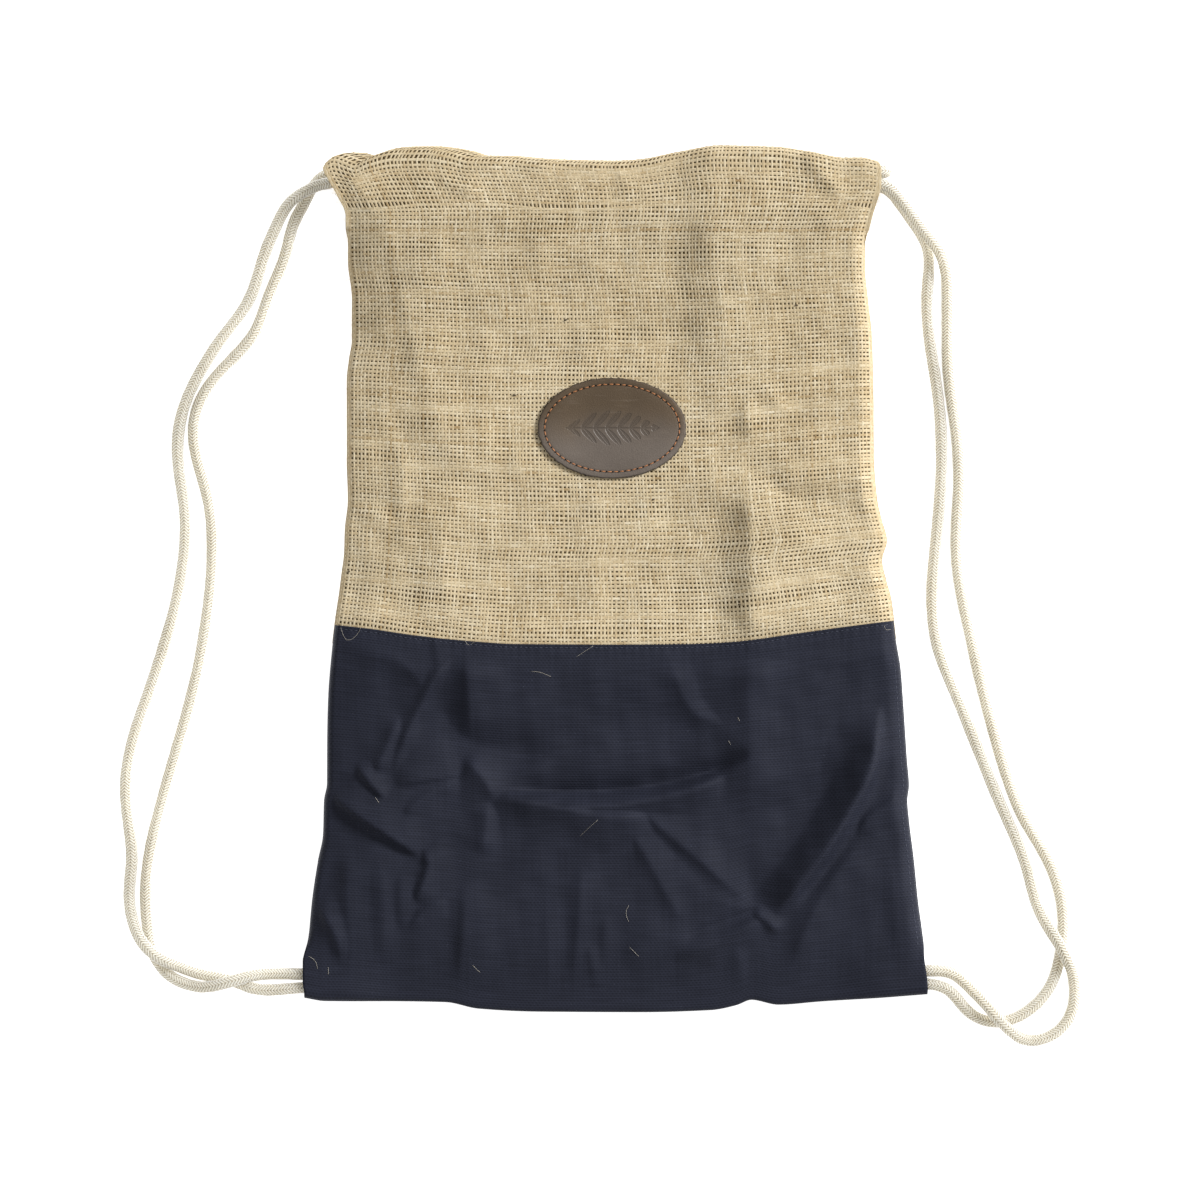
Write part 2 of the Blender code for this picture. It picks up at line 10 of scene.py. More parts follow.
import bpy
import numpy as np
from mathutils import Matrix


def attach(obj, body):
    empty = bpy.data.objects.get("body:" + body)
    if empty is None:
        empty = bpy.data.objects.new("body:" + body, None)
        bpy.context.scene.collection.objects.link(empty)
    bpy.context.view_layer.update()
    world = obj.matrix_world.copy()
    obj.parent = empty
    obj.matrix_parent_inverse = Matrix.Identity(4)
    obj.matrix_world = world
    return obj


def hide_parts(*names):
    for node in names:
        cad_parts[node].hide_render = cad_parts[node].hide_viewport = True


MM = 0.001
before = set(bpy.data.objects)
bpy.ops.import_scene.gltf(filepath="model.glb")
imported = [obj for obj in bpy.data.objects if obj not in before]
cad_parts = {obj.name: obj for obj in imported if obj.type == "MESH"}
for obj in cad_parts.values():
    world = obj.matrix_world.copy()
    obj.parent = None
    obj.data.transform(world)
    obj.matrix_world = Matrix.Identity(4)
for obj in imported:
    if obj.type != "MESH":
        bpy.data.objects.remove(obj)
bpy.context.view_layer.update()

# --- cloth ---
CLOTH = 1.2
GAP = 0.3                         # between two cloths that lie on each other
BACK_Z = CLOTH / 2
PLY_STEP = CLOTH + GAP
LAP = 10.0
LAP_EASE_UP = 22.0
LAP_EASE_DOWN = 36.0
HEM_FOLD_RADIUS = 4.3
HEM_LINE = 204.0
HEM_CLOSE = (205.5, 211.5)        # the flap parts from the hem's cloth here
HEM_ENDS = (-133.0, 139.0)
MOUTH_GAP = 4.8
FLAP_TOP = BACK_Z + 2 * HEM_FOLD_RADIUS + CLOTH / 2
FRONT_HEM_Z = FLAP_TOP + MOUTH_GAP + CLOTH / 2 + 2 * HEM_FOLD_RADIUS
BODY_Z = 11.5
RIM_Z = BACK_Z + PLY_STEP
RIM_FLAT = 2.0
LEFT_RISE = 48.0                  # the front rises over this width from the left seam
RIGHT_RISE = 7.0
CREASE_MARGIN = (1.5, 9.0)
CREASE_SHARPNESS = 1.3
CREASE_TAPER = 0.3                # the most of a crease that fades at each end
CREASE_FADE = 26.0                # the length over which a long crease fades
CREASE_STEP = 6.0
SEAM_CALM = 0.45
SEAM_CALM_REACH = (4.0, 15.0)
HEM_CALM = 0.75
BOTTOM_RADIUS = 2.4
CORNER_RADIUS = 4.3
CORNER_START = (118.0, 150.0)
BOTTOM_RISE = 34.0
BROAD_WAVES = (0.5, 34)           # height and pitch of the unevenness of all the cloth
FINE_WAVES = (0.16, 13)
HEM_CALM_Y = (190, 206)
SEWN_Y = ((-205, -192), (182, 192))   # where the side seams begin and end
ROLL_GAP = 0.4                    # between a cloth's middle and the seam's, at the seam
BACK_TOP_DROP = 0.6               # the back's top edge is this much below the front's
PATCH_CENTRE = (-1.6, 83.0)
PATCH_HALF = (40.5, 27.5)
PATCH_CALM = (1.05, 1.5)          # the cloth lies flat under this many sizes of the patch

# (Y, X) of the side seams, bottom to top
LEFT_SIDE = [
    (-229.5, -166.5), (-226, -169.8), (-221, -171.1), (-209, -171.1), (-198, -168.3),
    (-176, -166.1), (-154, -162.8), (-140, -160.1), (-121, -159.5), (-112, -157.9), (-88, -157.8),
    (-66, -157.3), (-33, -154.6), (0, -150.2), (15, -148.4), (28, -148), (44, -146.3),
    (66, -146.9), (110, -146.9), (121, -145.8), (132, -144.1), (154, -144.1), (176, -146.3),
    (198, -146.3), (209, -150.7), (216, -154.6), (224, -158.6), (229, -159.2), (233, -156),
]
RIGHT_SIDE = [
    (-228, 171.6), (-220, 171.1), (-207, 169.4), (-198, 168.9), (-176, 166.1), (-154, 163.9),
    (-132, 161.2), (-121, 160.3), (-113, 161.2), (-99, 160.1), (-66, 157.9), (-49, 156.6),
    (-33, 154), (-10, 151.2), (0, 148.5), (11, 146.3), (21.5, 149.1), (34, 145.8), (44, 143.6),
    (66, 141.9), (110, 141.4), (132, 140.8), (154, 138.6), (170, 137), (184, 137), (198, 139.7),
    (208, 142.6), (215, 144.2), (228, 144.4),
]
# (X, Y) of the top edge, the seam line and the bottom edge, left to right
TOP_EDGE = [
    (-159, 229.5), (-153.5, 233.6), (-147.5, 231.6), (-141.4, 229.4), (-136.4, 232.1),
    (-120, 236.6), (-105.6, 236.8), (-91.3, 234.9), (-79.2, 231.8), (-60, 231.4), (-41.2, 229.9),
    (-4.4, 229), (12.1, 230.1), (31.4, 233.8), (56.7, 237.1), (88, 236.5), (107.3, 233.8),
    (127, 230.6), (136, 230.6), (145, 228.8),
]
SEAM_LINE = [
    (-153, -24.8), (-133, -27), (-110.6, -30.3), (-73.2, -34.1), (-53.4, -35.2), (1.7, -35.5),
    (39.6, -35.2), (63.3, -34.1), (99, -29.5), (122.7, -26.2), (153, -22.3),
]
BOTTOM_EDGE = [
    (-170, -229.6), (-159, -231.3), (-118.3, -231.6), (-93, -232.1), (-74.8, -235.7),
    (-42.9, -237.3), (14.9, -237.6), (52.3, -236.5), (66.6, -233.8), (74.8, -230.8),
    (89.7, -233.5), (112.2, -231.8), (142.5, -229.8), (171, -227.6),
]
MIDDLE_HEIGHT = [
    (-238, 9.6), (-212, 9.8), (-185, BODY_Z), (110, BODY_Z), (130, 12.8), (152, 15.4),
    (166, 17.6), (185, 20.9), (203, FRONT_HEM_Z), (240, FRONT_HEM_Z),
]
CORNER_Z = BACK_Z + 2 * CORNER_RADIUS
EDGE_Z = 7.0
EDGE_HEIGHT = [
    (-238, CORNER_Z), (-214, CORNER_Z), (-186, EDGE_Z), (140, EDGE_Z + 1.2), (165, 12.6),
    (184, 17.2), (209, FRONT_HEM_Z), (240, FRONT_HEM_Z),
]

# A crease of the cloth along a line (X, Y).  Seen along the line, the cloth falls away from it
# over the width left on the left, and over the width right on the right.  Both cloths share the
# list, so that one never comes through the other where they overlap.
Crease = namedtuple("Crease", "line left right height")
CREASES = [Crease(*row) for row in (
    # across the middle
    ([(71, -103), (58, -108), (36, -116), (14, -121), (-8, -124), (-34, -123), (-52, -121),
      (-70, -116)], 8, 4.5, 6.5),
    ([(-69, -114), (-30, -116), (14, -114), (47, -107), (78, -93)], 8, 3, -6.2),
    ([(-72, -120), (-32, -124), (-8, -129), (29, -127)], 5, 13, 7.5),
    ([(-125, -113), (-105, -109), (-88, -107), (-78, -101)], 9, 2.5, 2.4),
    ([(-84, -97), (-75, -105), (-70, -112), (-65, -123)], 6, 9, 4.4),
    ([(-122, -136), (-107, -121), (-94, -113), (-78, -107)], 4, 6, 2.6),
    ([(-71, -119), (-71, -138), (-74, -151)], 6, 7, 2.6),
    # left side
    ([(-161, -114), (-148, -124), (-127, -138), (-102, -154)], 14, 1.9, 4.6),
    ([(-107, -144), (-102, -155), (-104, -163), (-110, -179)], 9, 2.4, 3.4),
    ([(-142, -99), (-135, -110), (-123, -122)], 6, 2.4, 3.6),
    ([(-82, -36), (-93, -46), (-105, -66), (-118, -95), (-123, -110)], 3, 4, 3.2),
    ([(-82, -34), (-80, -61), (-80, -91)], 24, 6.5, 4.6),
    ([(-117, -72), (-125, -91), (-133, -110)], 5, 4, 2.8),
    ([(-159, -33), (-138, -37), (-118, -44), (-107, -55), (-100, -66)], 10, 6, 2.6),
    ([(-100, -28), (-97, -38), (-96, -51)], 5, 4, 2.0),
    ([(-98, -62), (-84, -85), (-62, -93), (-30, -94)], 12, 20, -3.2),
    ([(-116, -157), (-117, -176), (-114, -195)], 8, 5, 1.5),
    ([(-114, -193), (-102, -179), (-89, -174)], 3, 6, 2.0),
    ([(-171, -173), (-161, -182), (-153, -195), (-149, -215)], 8, 3.5, 3.2),
    ([(-144, -138), (-147, -165), (-145, -198), (-146, -227)], 8, 6, 1.8),
    ([(-130, -144), (-127, -176), (-128, -215)], 8, 5, 1.2),
    # right side
    ([(74, 0), (73, -66), (75, -130)], 30, 20, 6.0),
    ([(26, -30), (35, -58), (44, -73), (59, -79), (75, -90)], 10, 8, 3.4),
    ([(45, -31), (56, -44), (72, -41)], 6, 5, 1.6),
    ([(2, -114), (28, -138), (47, -154), (64, -169), (76, -178)], 13, 4.0, 2.9),
    ([(-8, -119), (14, -146), (26, -168), (40, -192)], 10, 5, 2.6),
    ([(144, -66), (142, -88), (138, -106), (129, -124), (114, -149), (102, -164), (85, -186)],
     3.5, 14, 11.0),
    ([(126, -92), (114, -118), (101, -140), (89, -156), (62, -187)], 13, 26, -4.6),
    ([(140, -136), (127, -153), (112, -175), (99, -206), (94, -226)], 8, 5, 1.9),
    ([(163, -113), (146, -125), (137, -132), (132, -143)], 6, 3, 2.2),
    ([(28, -209), (63, -195), (87, -181)], 5, 4, 3.0),
    ([(30, -198), (72, -182), (90, -174)], 6, 6, -2.8),
    ([(73, -182), (83, -186), (90, -195)], 4, 3, 2.6),
    ([(109, -42), (91, -61), (76, -94)], 5, 4, 1.8),
    ([(131, -30), (110, -66), (101, -105)], 10, 14, 1.6),
    ([(148, -143), (153, -176), (155, -211)], 8, 6, 1.2),
    ([(0, -208), (28, -198), (49, -188)], 6, 9, 1.2),
    # soft pleats above the bottom fold
    ([(-82, -161), (-83, -193), (-86, -230)], 20, 4, 2.6),
    ([(-18, -148), (-20, -187), (-24, -234)], 8, 4, 1.7),
    ([(-37, -176), (-36, -229)], 8, 4, 0.9),
    ([(-5, -179), (-7, -220)], 6, 4, 1.0),
    ([(-16, -193), (-9, -223), (-2, -240)], 7, 4, 1.6),
    ([(66, -198), (72, -231)], 7, 6, 2.0),
    ([(-97, -229), (-90, -226)], 3, 2, 0.8),
    # burlap
    ([(-129, 226), (-118, 165), (-108, 121), (-96, 88), (-82, 44)], 30, 14, 2.2),
    ([(-98, 116), (-92, 77), (-86, 43)], 10, 8, 1.5),
    ([(-88, 62), (-85, 47), (-92, 34), (-94, 4), (-91, -38)], 14, 11, 2.4),
    ([(-128, 86), (-116, 61), (-117, 44), (-112, 6)], 8, 7, 1.7),
    ([(-85, 47), (-102, 37), (-121, 32), (-148, 44)], 10, 6, 1.4),
    ([(54, 268), (53, 209), (56, 165), (61, 127), (58, 85)], 30, 20, 3.2),
    ([(34, 266), (33, 214), (33, 165), (36, 127), (40, 96)], 19, 40, -1.9),
    ([(76, 110), (72, 94), (74, 74)], 8, 6, 2.0),
    ([(73, 62), (74, 22), (74, -11), (74, -62)], 44, 16, 6.6),
    ([(54, 60), (56, 22), (56, -11), (57, -50)], 18, 50, -3.2),
    ([(76, 46), (100, 53), (129, 55), (160, 57)], 16, 17, 4.4),
    ([(90, 33), (122, 32), (156, 36)], 13, 11, -1.8),
    ([(91, 8), (124, 18), (149, 23)], 9, 11, 1.8),
    ([(63, 130), (80, 107), (100, 85)], 10, 6, 1.6),
    ([(100, 233), (113, 220), (125, 206)], 6, 5, 2.6),
    ([(-98, 221), (-88, 215), (-72, 211)], 6, 5, 2.0),
    ([(-3, 231), (4, 220), (7, 206)], 6, 5, 1.6),
    ([(-150, 222), (-134, 206), (-129, 191)], 8, 6, 2.0),
)]

# --- cord routes, hem end to corner ---
CORD_RADIUS = 3.2
REAR_CORD_Z = BACK_Z + HEM_FOLD_RADIUS
FRONT_CORD_Z = FRONT_HEM_Z - HEM_FOLD_RADIUS
UPPER_SLOT_Y = 223.1
LOWER_SLOT_Y = 215.6
TURN_RADIUS = (FRONT_CORD_Z - REAR_CORD_Z) / 2
RIGHT_TURN_X = 140.8
LEFT_TURN_X = -135.2
REST_Z = 3.3
OVER_Z = 10.0
HEM_STATIONS = 7
HEM_LEAD = 12.0
LEFT_FRONT_STRAND = [
    (-137, 223.1, FRONT_CORD_Z), (-146.2, 222.4, FRONT_CORD_Z - 0.2), (-154, 217.6, 16.2),
    (-161.7, 216, 11.8), (-169.4, 212.9, OVER_Z), (-176, 208.7, 8.8), (-181.3, 203.2, 5.2),
    (-186.2, 194), (-192.5, 178.8), (-201.5, 153), (-213.6, 135.9), (-226.8, 116.1),
    (-237.2, 93.5), (-240.2, 68), (-236.6, 40), (-237.1, 11), (-243.7, -22), (-257.7, -66),
    (-267.4, -99), (-268.2, -126), (-265.4, -152), (-266.7, -176, REST_Z + 0.3),
    (-263.2, -190.5, 7.2), (-257.8, -199.8, OVER_Z), (-249.6, -207, OVER_Z),
    (-240.2, -211.6, 5.6), (-228.7, -216.1), (-210.5, -220), (-199, -224.2), (-186, -225, 3.8),
    (-172, -223.8, 4.9), (-160, -223.6, 4.9),
]
LEFT_REAR_STRAND = [
    (-137, 223.1, REAR_CORD_Z), (-152, 223.4, REAR_CORD_Z), (-160.2, 221.6, 4.7),
    (-165.6, 216.4, 3.6), (-169.6, 209), (-176.3, 196.1), (-181.2, 178), (-189.8, 156.8),
    (-198.6, 134.8), (-217.3, 113.9), (-229.9, 92.2), (-231.3, 77), (-224.4, 48.4), (-221.2, 22),
    (-223, -11), (-233.2, -66), (-242.6, -99), (-251.6, -132), (-257.6, -168), (-256.6, -190),
    (-252.8, -206.6), (-243.4, -218), (-234, -222.2, 4.1), (-225, -223.2, 7.4),
    (-216.4, -221.5, OVER_Z), (-207.5, -219, OVER_Z), (-198.6, -216.9, 7), (-187, -216.2, 3.8),
    (-171, -216.3, 4.9), (-160, -216.3, 4.9),
]
RIGHT_FRONT_STRAND = [
    (141, 215.6, FRONT_CORD_Z), (148.2, 214.9, 18), (153.4, 210.9, 15.2), (161.7, 200.8, 11.9),
    (168.9, 190.9, OVER_Z + 0.2), (176.4, 181.7, OVER_Z), (181, 170.8, 7.2), (182.4, 158, 3.7),
    (182.3, 130), (183.9, 105), (187.8, 77), (188.8, 55), (187.3, 14), (192.6, -20), (203.2, -66),
    (212.3, -99), (225, -132), (238.2, -155), (245.3, -178), (244.9, -203), (238.2, -224.4),
    (225.5, -237.4), (209, -242.7), (193.6, -236.6), (183, -225.2, 3.8), (171.6, -221.7, 4.9),
    (160, -221.6, 4.9),
]
RIGHT_REAR_STRAND = [
    (141, 215.6, REAR_CORD_Z), (148.2, 214.7, 4.8), (153.6, 210.2, 4), (162, 199), (171.4, 182.6),
    (171.6, 160.6), (171.6, 142), (176.4, 107.8), (179.2, 75), (176.3, 22), (174.1, -6),
    (177, -36), (188.4, -66), (201.6, -99), (215.6, -132), (226, -158), (231.4, -178, 3.6),
    (236.4, -188.6, 7.2), (242, -197.6, OVER_Z), (247, -206.6, OVER_Z), (250.8, -215.2, 6),
    (252.5, -226), (249, -241), (238.2, -250.8), (226.5, -252.6, 3.9), (217, -247.4, 9),
    (210, -240.6, OVER_Z + 0.2), (204, -233.4, 8), (195.2, -224.2, REST_Z + 0.2),
    (184.6, -215.9, 3.7), (171.6, -214.4, 4.9), (160, -214.4, 4.9),
]

# --- yarns, threads and braid ---
WARPS = 150                       # yarns side by side across a panel
ROLL_WARPS = 4                    # of these, on each side, stand on the roll to the side seam
ROLL_SHARE = 0.0065               # the roll's share of the panel's width
PANEL_LENGTHS = (249.0, 24.0, np.pi * HEM_FOLD_RADIUS, 21.0)   # body, hem, top fold and flap
WARP_PITCH = 2.06
WEFT_PITCH = 2.2
YARN_THICK = 0.55
WARP_FILL = 0.57                  # yarns are this much of their pitch wide
WEFT_FILL = 0.67
BACK_FILL = 0.03                  # and this much more on the back
FILL_LIMITS = (0.46, 0.98)
FILL_BY_YARN = 0.034              # how much the width differs from yarn to yarn,
FILL_BY_SLUB = 0.04               # along a yarn, and from place to place of the panel
FILL_BY_PLACE = 0.02
YARN_TONE = 0.505                 # place on the jute's colour ramp
YARN_TONE_SPREAD = 0.036
STAIN = (1.8, 0.2)                # a stained yarn is this far out, and darker by this
STREAK = (0.035, 21)              # strength, and length in crossings
SHORT_STREAK = (0.07, 5)
DARK_RUN = (1.75, 0.6, 15)        # threshold, strength and length
YARN_SHIFT = 0.21                 # a crossing strays this share of a pitch from its grid
YARN_EDGE = 1.2                   # radians; sharper edges of a yarn aren't shaded smooth
FUZZ_DEPTH = 0.32                 # the fuzz lies this far inside the middle of the weave
FUZZ_THICK = 0.08
YARN_SWING = 0.10                 # a yarn's middle is this far above or below the cloth's
SEAM_ROLL = 1.9                   # the last of a panel's width, which rolls over to the seam
BRAID_SIDES = 20
BRAID_STEP = 1.2
BRAID_AROUND = 2 * np.pi * CORD_RADIUS
BRAID_ROW = BRAID_AROUND / 8
BRAID_STRAND = 1.7
COTTON_DEPTH = 0.020              # metres that light goes into the cotton
CANVAS_THICK = 0.8
CANVAS_COLUMNS = 240
CANVAS_WARP_PITCH = 1.0
CANVAS_WEFT_PITCH = 1.38
CANVAS_RUN = (0, 203, 213, 416)   # length along the cloth at path 0, 1, 2 and 3
STITCH_INSET = 1.7
SIDE_STITCH_INSET = 3.4
SEAM_STITCH = (2.75, 0.70)        # pitch, and the share of it that is thread
SIDE_STITCH = (3.0, 0.62)
STITCH_THICK = 0.55
LINT_THICK = 0.17
HAIR_THICK = 0.13
HAIR_REACH = (2.0, 8.0)
EDGE_HAIR_REACH = (1.2, 4.2)

# --- leather patch ---
PATCH_BASE = 12.0
PATCH_COLUMNS = 480
PATCH_STITCHES = 57
PATCH_STITCH_INSET = 3.6
PATCH_STITCH_Z = PATCH_BASE + 1.62
PATCH_STITCH_SHARE = 0.72
PATCH_STITCH_THICK = 0.64
HOLE_SHARE = 0.20
HOLE_THICK = 0.95
RAGGED = 0.16                     # how uneven the rim is
NICKS = 34
NICK_DEPTH = (0.3, 0.75)
PAINTED_SHEEN_FROM = (0.097, 0.070)      # metres up the bag where a painted sheen turns the leather greyer
SPRIG_HALF = 26.0
LEAF_REACH = 0.38
LEAF_PITCH = 0.25
# (distance in from the rim, height) from the underside's middle to the upper face's middle
PATCH_PROFILE = [
    (26.5, 0.0), (1.2, 0.0), (0.2, 0.15), (0.0, 0.5), (0.0, 1.1), (0.12, 1.45), (0.4, 1.68),
    (0.9, 1.79), (2.2, 1.84), (3.0, 1.78), (3.6, 1.56), (4.2, 1.78), (5.2, 1.86), (9.0, 1.9),
    (16.0, 1.92), (23.0, 1.92), (26.5, 1.92),
]

# --- stage ---
VIEW_CENTRE = (-8.25, -11.0)
VIEW_WIDTH = 660.0
VIEW_DISTANCE = 2200.0
SENSOR = 36.0
KEY_PLACE = (5.34, 2.84, 3.50)    # metres, as is the lamp's width
KEY_SIZE = 2.0
KEY_POWER = 640.0
WORLD_LIGHT = 0.50
FLOOR_GLOW = 0.8                  # the photo's ground is white and has no shadow


# --- curves and ramps ---
def smooth_table(table, at):
    """Value of a two-column table at the places in `at`, on a curve that never overshoots."""
    xs, ys = np.array(table, float).T
    secant = np.diff(ys) / np.diff(xs)
    product = secant[:-1] * secant[1:]
    total = secant[:-1] + secant[1:]
    inner = np.where(product > 0, 2 * product / np.where(product > 0, total, 1.0), 0.0)
    slope = np.concatenate([[secant[0]], inner, [secant[-1]]])
    at = np.clip(np.asarray(at, float), xs[0], xs[-1])
    k = np.clip(np.searchsorted(xs, at) - 1, 0, len(xs) - 2)
    span = xs[k + 1] - xs[k]
    t = (at - xs[k]) / span
    ease = t * t * (3 - 2 * t)
    leave = t * (1 - t) * (1 - t) * span * slope[k]
    arrive = -t * t * (1 - t) * span * slope[k + 1]
    return ys[k] * (1 - ease) + ys[k + 1] * ease + leave + arrive


def ramp(value, start, end):
    """Soft step from 0 at start to 1 at end."""
    t = np.clip((np.asarray(value, float) - start) / (end - start), 0.0, 1.0)
    return t * t * (3 - 2 * t)


def blend(a, b, t):
    return a + (b - a) * t


def wander(x, y, size, seed):
    """Smooth uneven field of about -1 to 1, whose bumps are about size apart."""
    rng = np.random.default_rng(seed)
    total = np.zeros(np.broadcast(x, y).shape)
    waves = 7
    for _ in range(waves):
        angle, phase = rng.uniform(0, 2 * np.pi, 2)
        pitch = size * rng.uniform(0.7, 1.5)
        total += np.sin((x * np.cos(angle) + y * np.sin(angle)) * 2 * np.pi / pitch + phase)
    return total / np.sqrt(waves)


def run_lengths(line):
    """The length along a line of points, up to each of them."""
    return np.concatenate([[0.0], np.cumsum(np.linalg.norm(np.diff(line, axis=0), axis=1))])


def unit(vectors):
    return vectors / np.maximum(np.linalg.norm(vectors, axis=-1, keepdims=True), 1e-12)


def spline(points, step):
    """Natural cubic curve through the points, read about every step."""
    knots = np.array(points, float)
    chord = np.linalg.norm(np.diff(knots, axis=0), axis=1)
    length = run_lengths(knots)
    count = len(knots)
    system = np.eye(count)
    right_side = np.zeros(knots.shape)
    for i in range(1, count - 1):
        system[i, i - 1] = chord[i - 1]
        system[i, i] = 2 * (chord[i - 1] + chord[i])
        system[i, i + 1] = chord[i]
        after = (knots[i + 1] - knots[i]) / chord[i]
        before = (knots[i] - knots[i - 1]) / chord[i - 1]
        right_side[i] = 6 * (after - before)
    bend = np.linalg.solve(system, right_side)
    at = np.linspace(0.0, length[-1], int(length[-1] / step) + 1)
    k = np.clip(np.searchsorted(length, at) - 1, 0, count - 2)
    span = chord[k][:, None]
    a = (length[k + 1] - at)[:, None] / span
    b = 1 - a
    curve = a * knots[k] + b * knots[k + 1]
    return curve + ((a**3 - a) * bend[k] + (b**3 - b) * bend[k + 1]) * span**2 / 6


def smooth_route(points, step):
    """The curve of a cord that lies on the floor and never dips into it."""
    curve = spline(points, step)
    curve[:, 2] = np.maximum(curve[:, 2], REST_Z)
    return curve


# --- the cloth's shape ---
def side_x(y, u):
    return blend(smooth_table(LEFT_SIDE, y), smooth_table(RIGHT_SIDE, y), u)


def lap_height(x, y, ease_down):
    """1 where canvas and burlap lie on each other, easing off on the side asked for."""
    above_seam = y - smooth_table(SEAM_LINE, x)
    if ease_down:
        return ramp(above_seam, -LAP - LAP_EASE_DOWN, -LAP - 1)
    return 1 - ramp(above_seam, 1, LAP_EASE_UP)


def off_line(x, y, start, end):
    """Distance from a line, how far along it the place is, and if the place is on its left."""
    ax, ay = start
    dx = end[0] - ax
    dy = end[1] - ay
    along = np.clip(((x - ax) * dx + (y - ay) * dy) / (dx * dx + dy * dy), 0, 1)
    off = np.hypot(x - ax - along * dx, y - ay - along * dy)
    return off, along, dx * (y - ay) - dy * (x - ax) > 0


def calm_place(x, y):
    """1 on free cloth, less at the stitched lap, and 0 under the leather patch."""
    patch = np.hypot((x - PATCH_CENTRE[0]) / PATCH_HALF[0], (y - PATCH_CENTRE[1]) / PATCH_HALF[1])
    from_lap = np.abs(y - smooth_table(SEAM_LINE, x) + LAP / 2)
    calm = blend(SEAM_CALM, 1.0, ramp(from_lap, *SEAM_CALM_REACH))
    return ramp(patch, *PATCH_CALM) * calm


def crease_height(x, y):
    ridge = np.zeros_like(x)
    trough = np.zeros_like(x)
    for crease in CREASES:
        line = spline(crease.line, CREASE_STEP)
        nearest = np.full(x.shape, np.inf)
        on_left = np.zeros(x.shape, bool)
        reached = np.zeros(x.shape)
        for number, (start, end) in enumerate(zip(line, line[1:])):
            off, along, left = off_line(x, y, start, end)
            closer = off < nearest
            on_left = np.where(closer, left, on_left)
            reached = np.where(closer, number + along, reached)
            nearest = np.minimum(nearest, off)
        share = reached / (len(line) - 1)
        fade = min(CREASE_TAPER, CREASE_FADE / CREASE_STEP / (len(line) - 1))
        taper = ramp(share, 0, fade) * (1 - ramp(share, 1 - fade, 1))
        width = np.where(on_left, crease.left, crease.right)
        height = crease.height * taper * np.exp(-((nearest / width) ** CREASE_SHARPNESS))
        ridge = np.maximum(ridge, height)
        trough = np.minimum(trough, height)
    return ridge + trough


def bottom_radius(x):
    return blend(BOTTOM_RADIUS, CORNER_RADIUS, ramp(np.abs(x), *CORNER_START))


def from_sides(x, y):
    """Distance from the left side seam, and from the right one."""
    return x - smooth_table(LEFT_SIDE, y), smooth_table(RIGHT_SIDE, y) - x


def front_height(x, y):
    """Middle of the front cloth, without the step of the lap."""
    sides = from_sides(x, y)
    rise = 1.0
    for off, width in zip(sides, (LEFT_RISE, RIGHT_RISE)):
        crown = np.clip((off - RIM_FLAT) / width, 0, 1)
        rise = rise * crown * (2 - crown)
    edge = np.interp(y, *zip(*EDGE_HEIGHT))
    level = blend(edge, smooth_table(MIDDLE_HEIGHT, y), rise)
    calm = ramp(np.minimum(*sides), *CREASE_MARGIN) * calm_place(x, y)
    waves = crease_height(x, y)
    for seed, (height, pitch) in enumerate((BROAD_WAVES, FINE_WAVES), 5):
        waves = waves + height * wander(x, y, pitch, seed)
    level = level + waves * calm * blend(1.0, HEM_CALM, ramp(y, *HEM_CALM_Y))
    radius = bottom_radius(x)
    fold_start = smooth_table(BOTTOM_EDGE, x) + CLOTH / 2 + radius
    lifted = ramp(y - fold_start, 0, BOTTOM_RISE)
    return blend(BACK_Z + 2 * radius, level, lifted)


def closed_side(y):
    """1 where a side seam is sewn shut, 0 at the hem and at the bottom corners."""
    return ramp(y, *SEWN_Y[0]) * (1 - ramp(y, *SEWN_Y[1]))


def roll_to_seam(x, y, z):
    """Bring a panel's edge to the middle of the side seam, where front and back meet."""
    roll = (1 - ramp(np.minimum(*from_sides(x, y)), 0, SEAM_ROLL)) * closed_side(y)
    middle = (BACK_Z + RIM_Z) / 2
    return blend(z, middle + ROLL_GAP * np.sign(z - middle), roll)


def burlap_point(u, path, front):
    """Point of a burlap panel.

    path runs 0..1 from the lapped edge to the hem's stitching, 1..2 to the top fold,
    2..3 round it, and 3..4 down the turned-in flap.
    """
    body = np.clip(path, 0, 1)
    hem = np.clip(path - 1, 0, 1)
    turn = np.clip(path - 2, 0, 1) * np.pi
    flap = np.clip(path - 3, 0, 1)
    y = blend(blend(-45.0, HEM_LINE, body), 225.0, hem)     # a first guess, then improved
    for _ in range(3):
        x = side_x(y, u)
        top = smooth_table(TOP_EDGE, x) - CLOTH / 2 - HEM_FOLD_RADIUS
        low = smooth_table(SEAM_LINE, x) - LAP
        y = blend(blend(low, HEM_LINE, body), top, hem)
    sheet_y = y
    flap_x = blend(HEM_ENDS[0], HEM_ENDS[1], u)
    lap = lap_height(x, y, ease_down=False)
    if front:
        z = front_height(x, y) + PLY_STEP * lap
    else:
        z = BACK_Z + PLY_STEP * lap
        top = top - BACK_TOP_DROP
    z = roll_to_seam(x, y, z)
    x = blend(x, flap_x, (1 - np.cos(turn)) / 2)
    inward = -1.0 if front else 1.0
    y = np.where(path > 2, top + HEM_FOLD_RADIUS * np.sin(turn), sheet_y)
    y = np.where(path > 3, blend(top, HEM_LINE + 0.5, flap), y)
    clearance = blend(PLY_STEP, 2 * HEM_FOLD_RADIUS, ramp(y, *HEM_CLOSE))
    z = z + inward * HEM_FOLD_RADIUS * (1 - np.cos(turn))
    z = np.where(path > 3, z + inward * (clearance - 2 * HEM_FOLD_RADIUS), z)
    return np.stack([x, y, z], axis=-1)


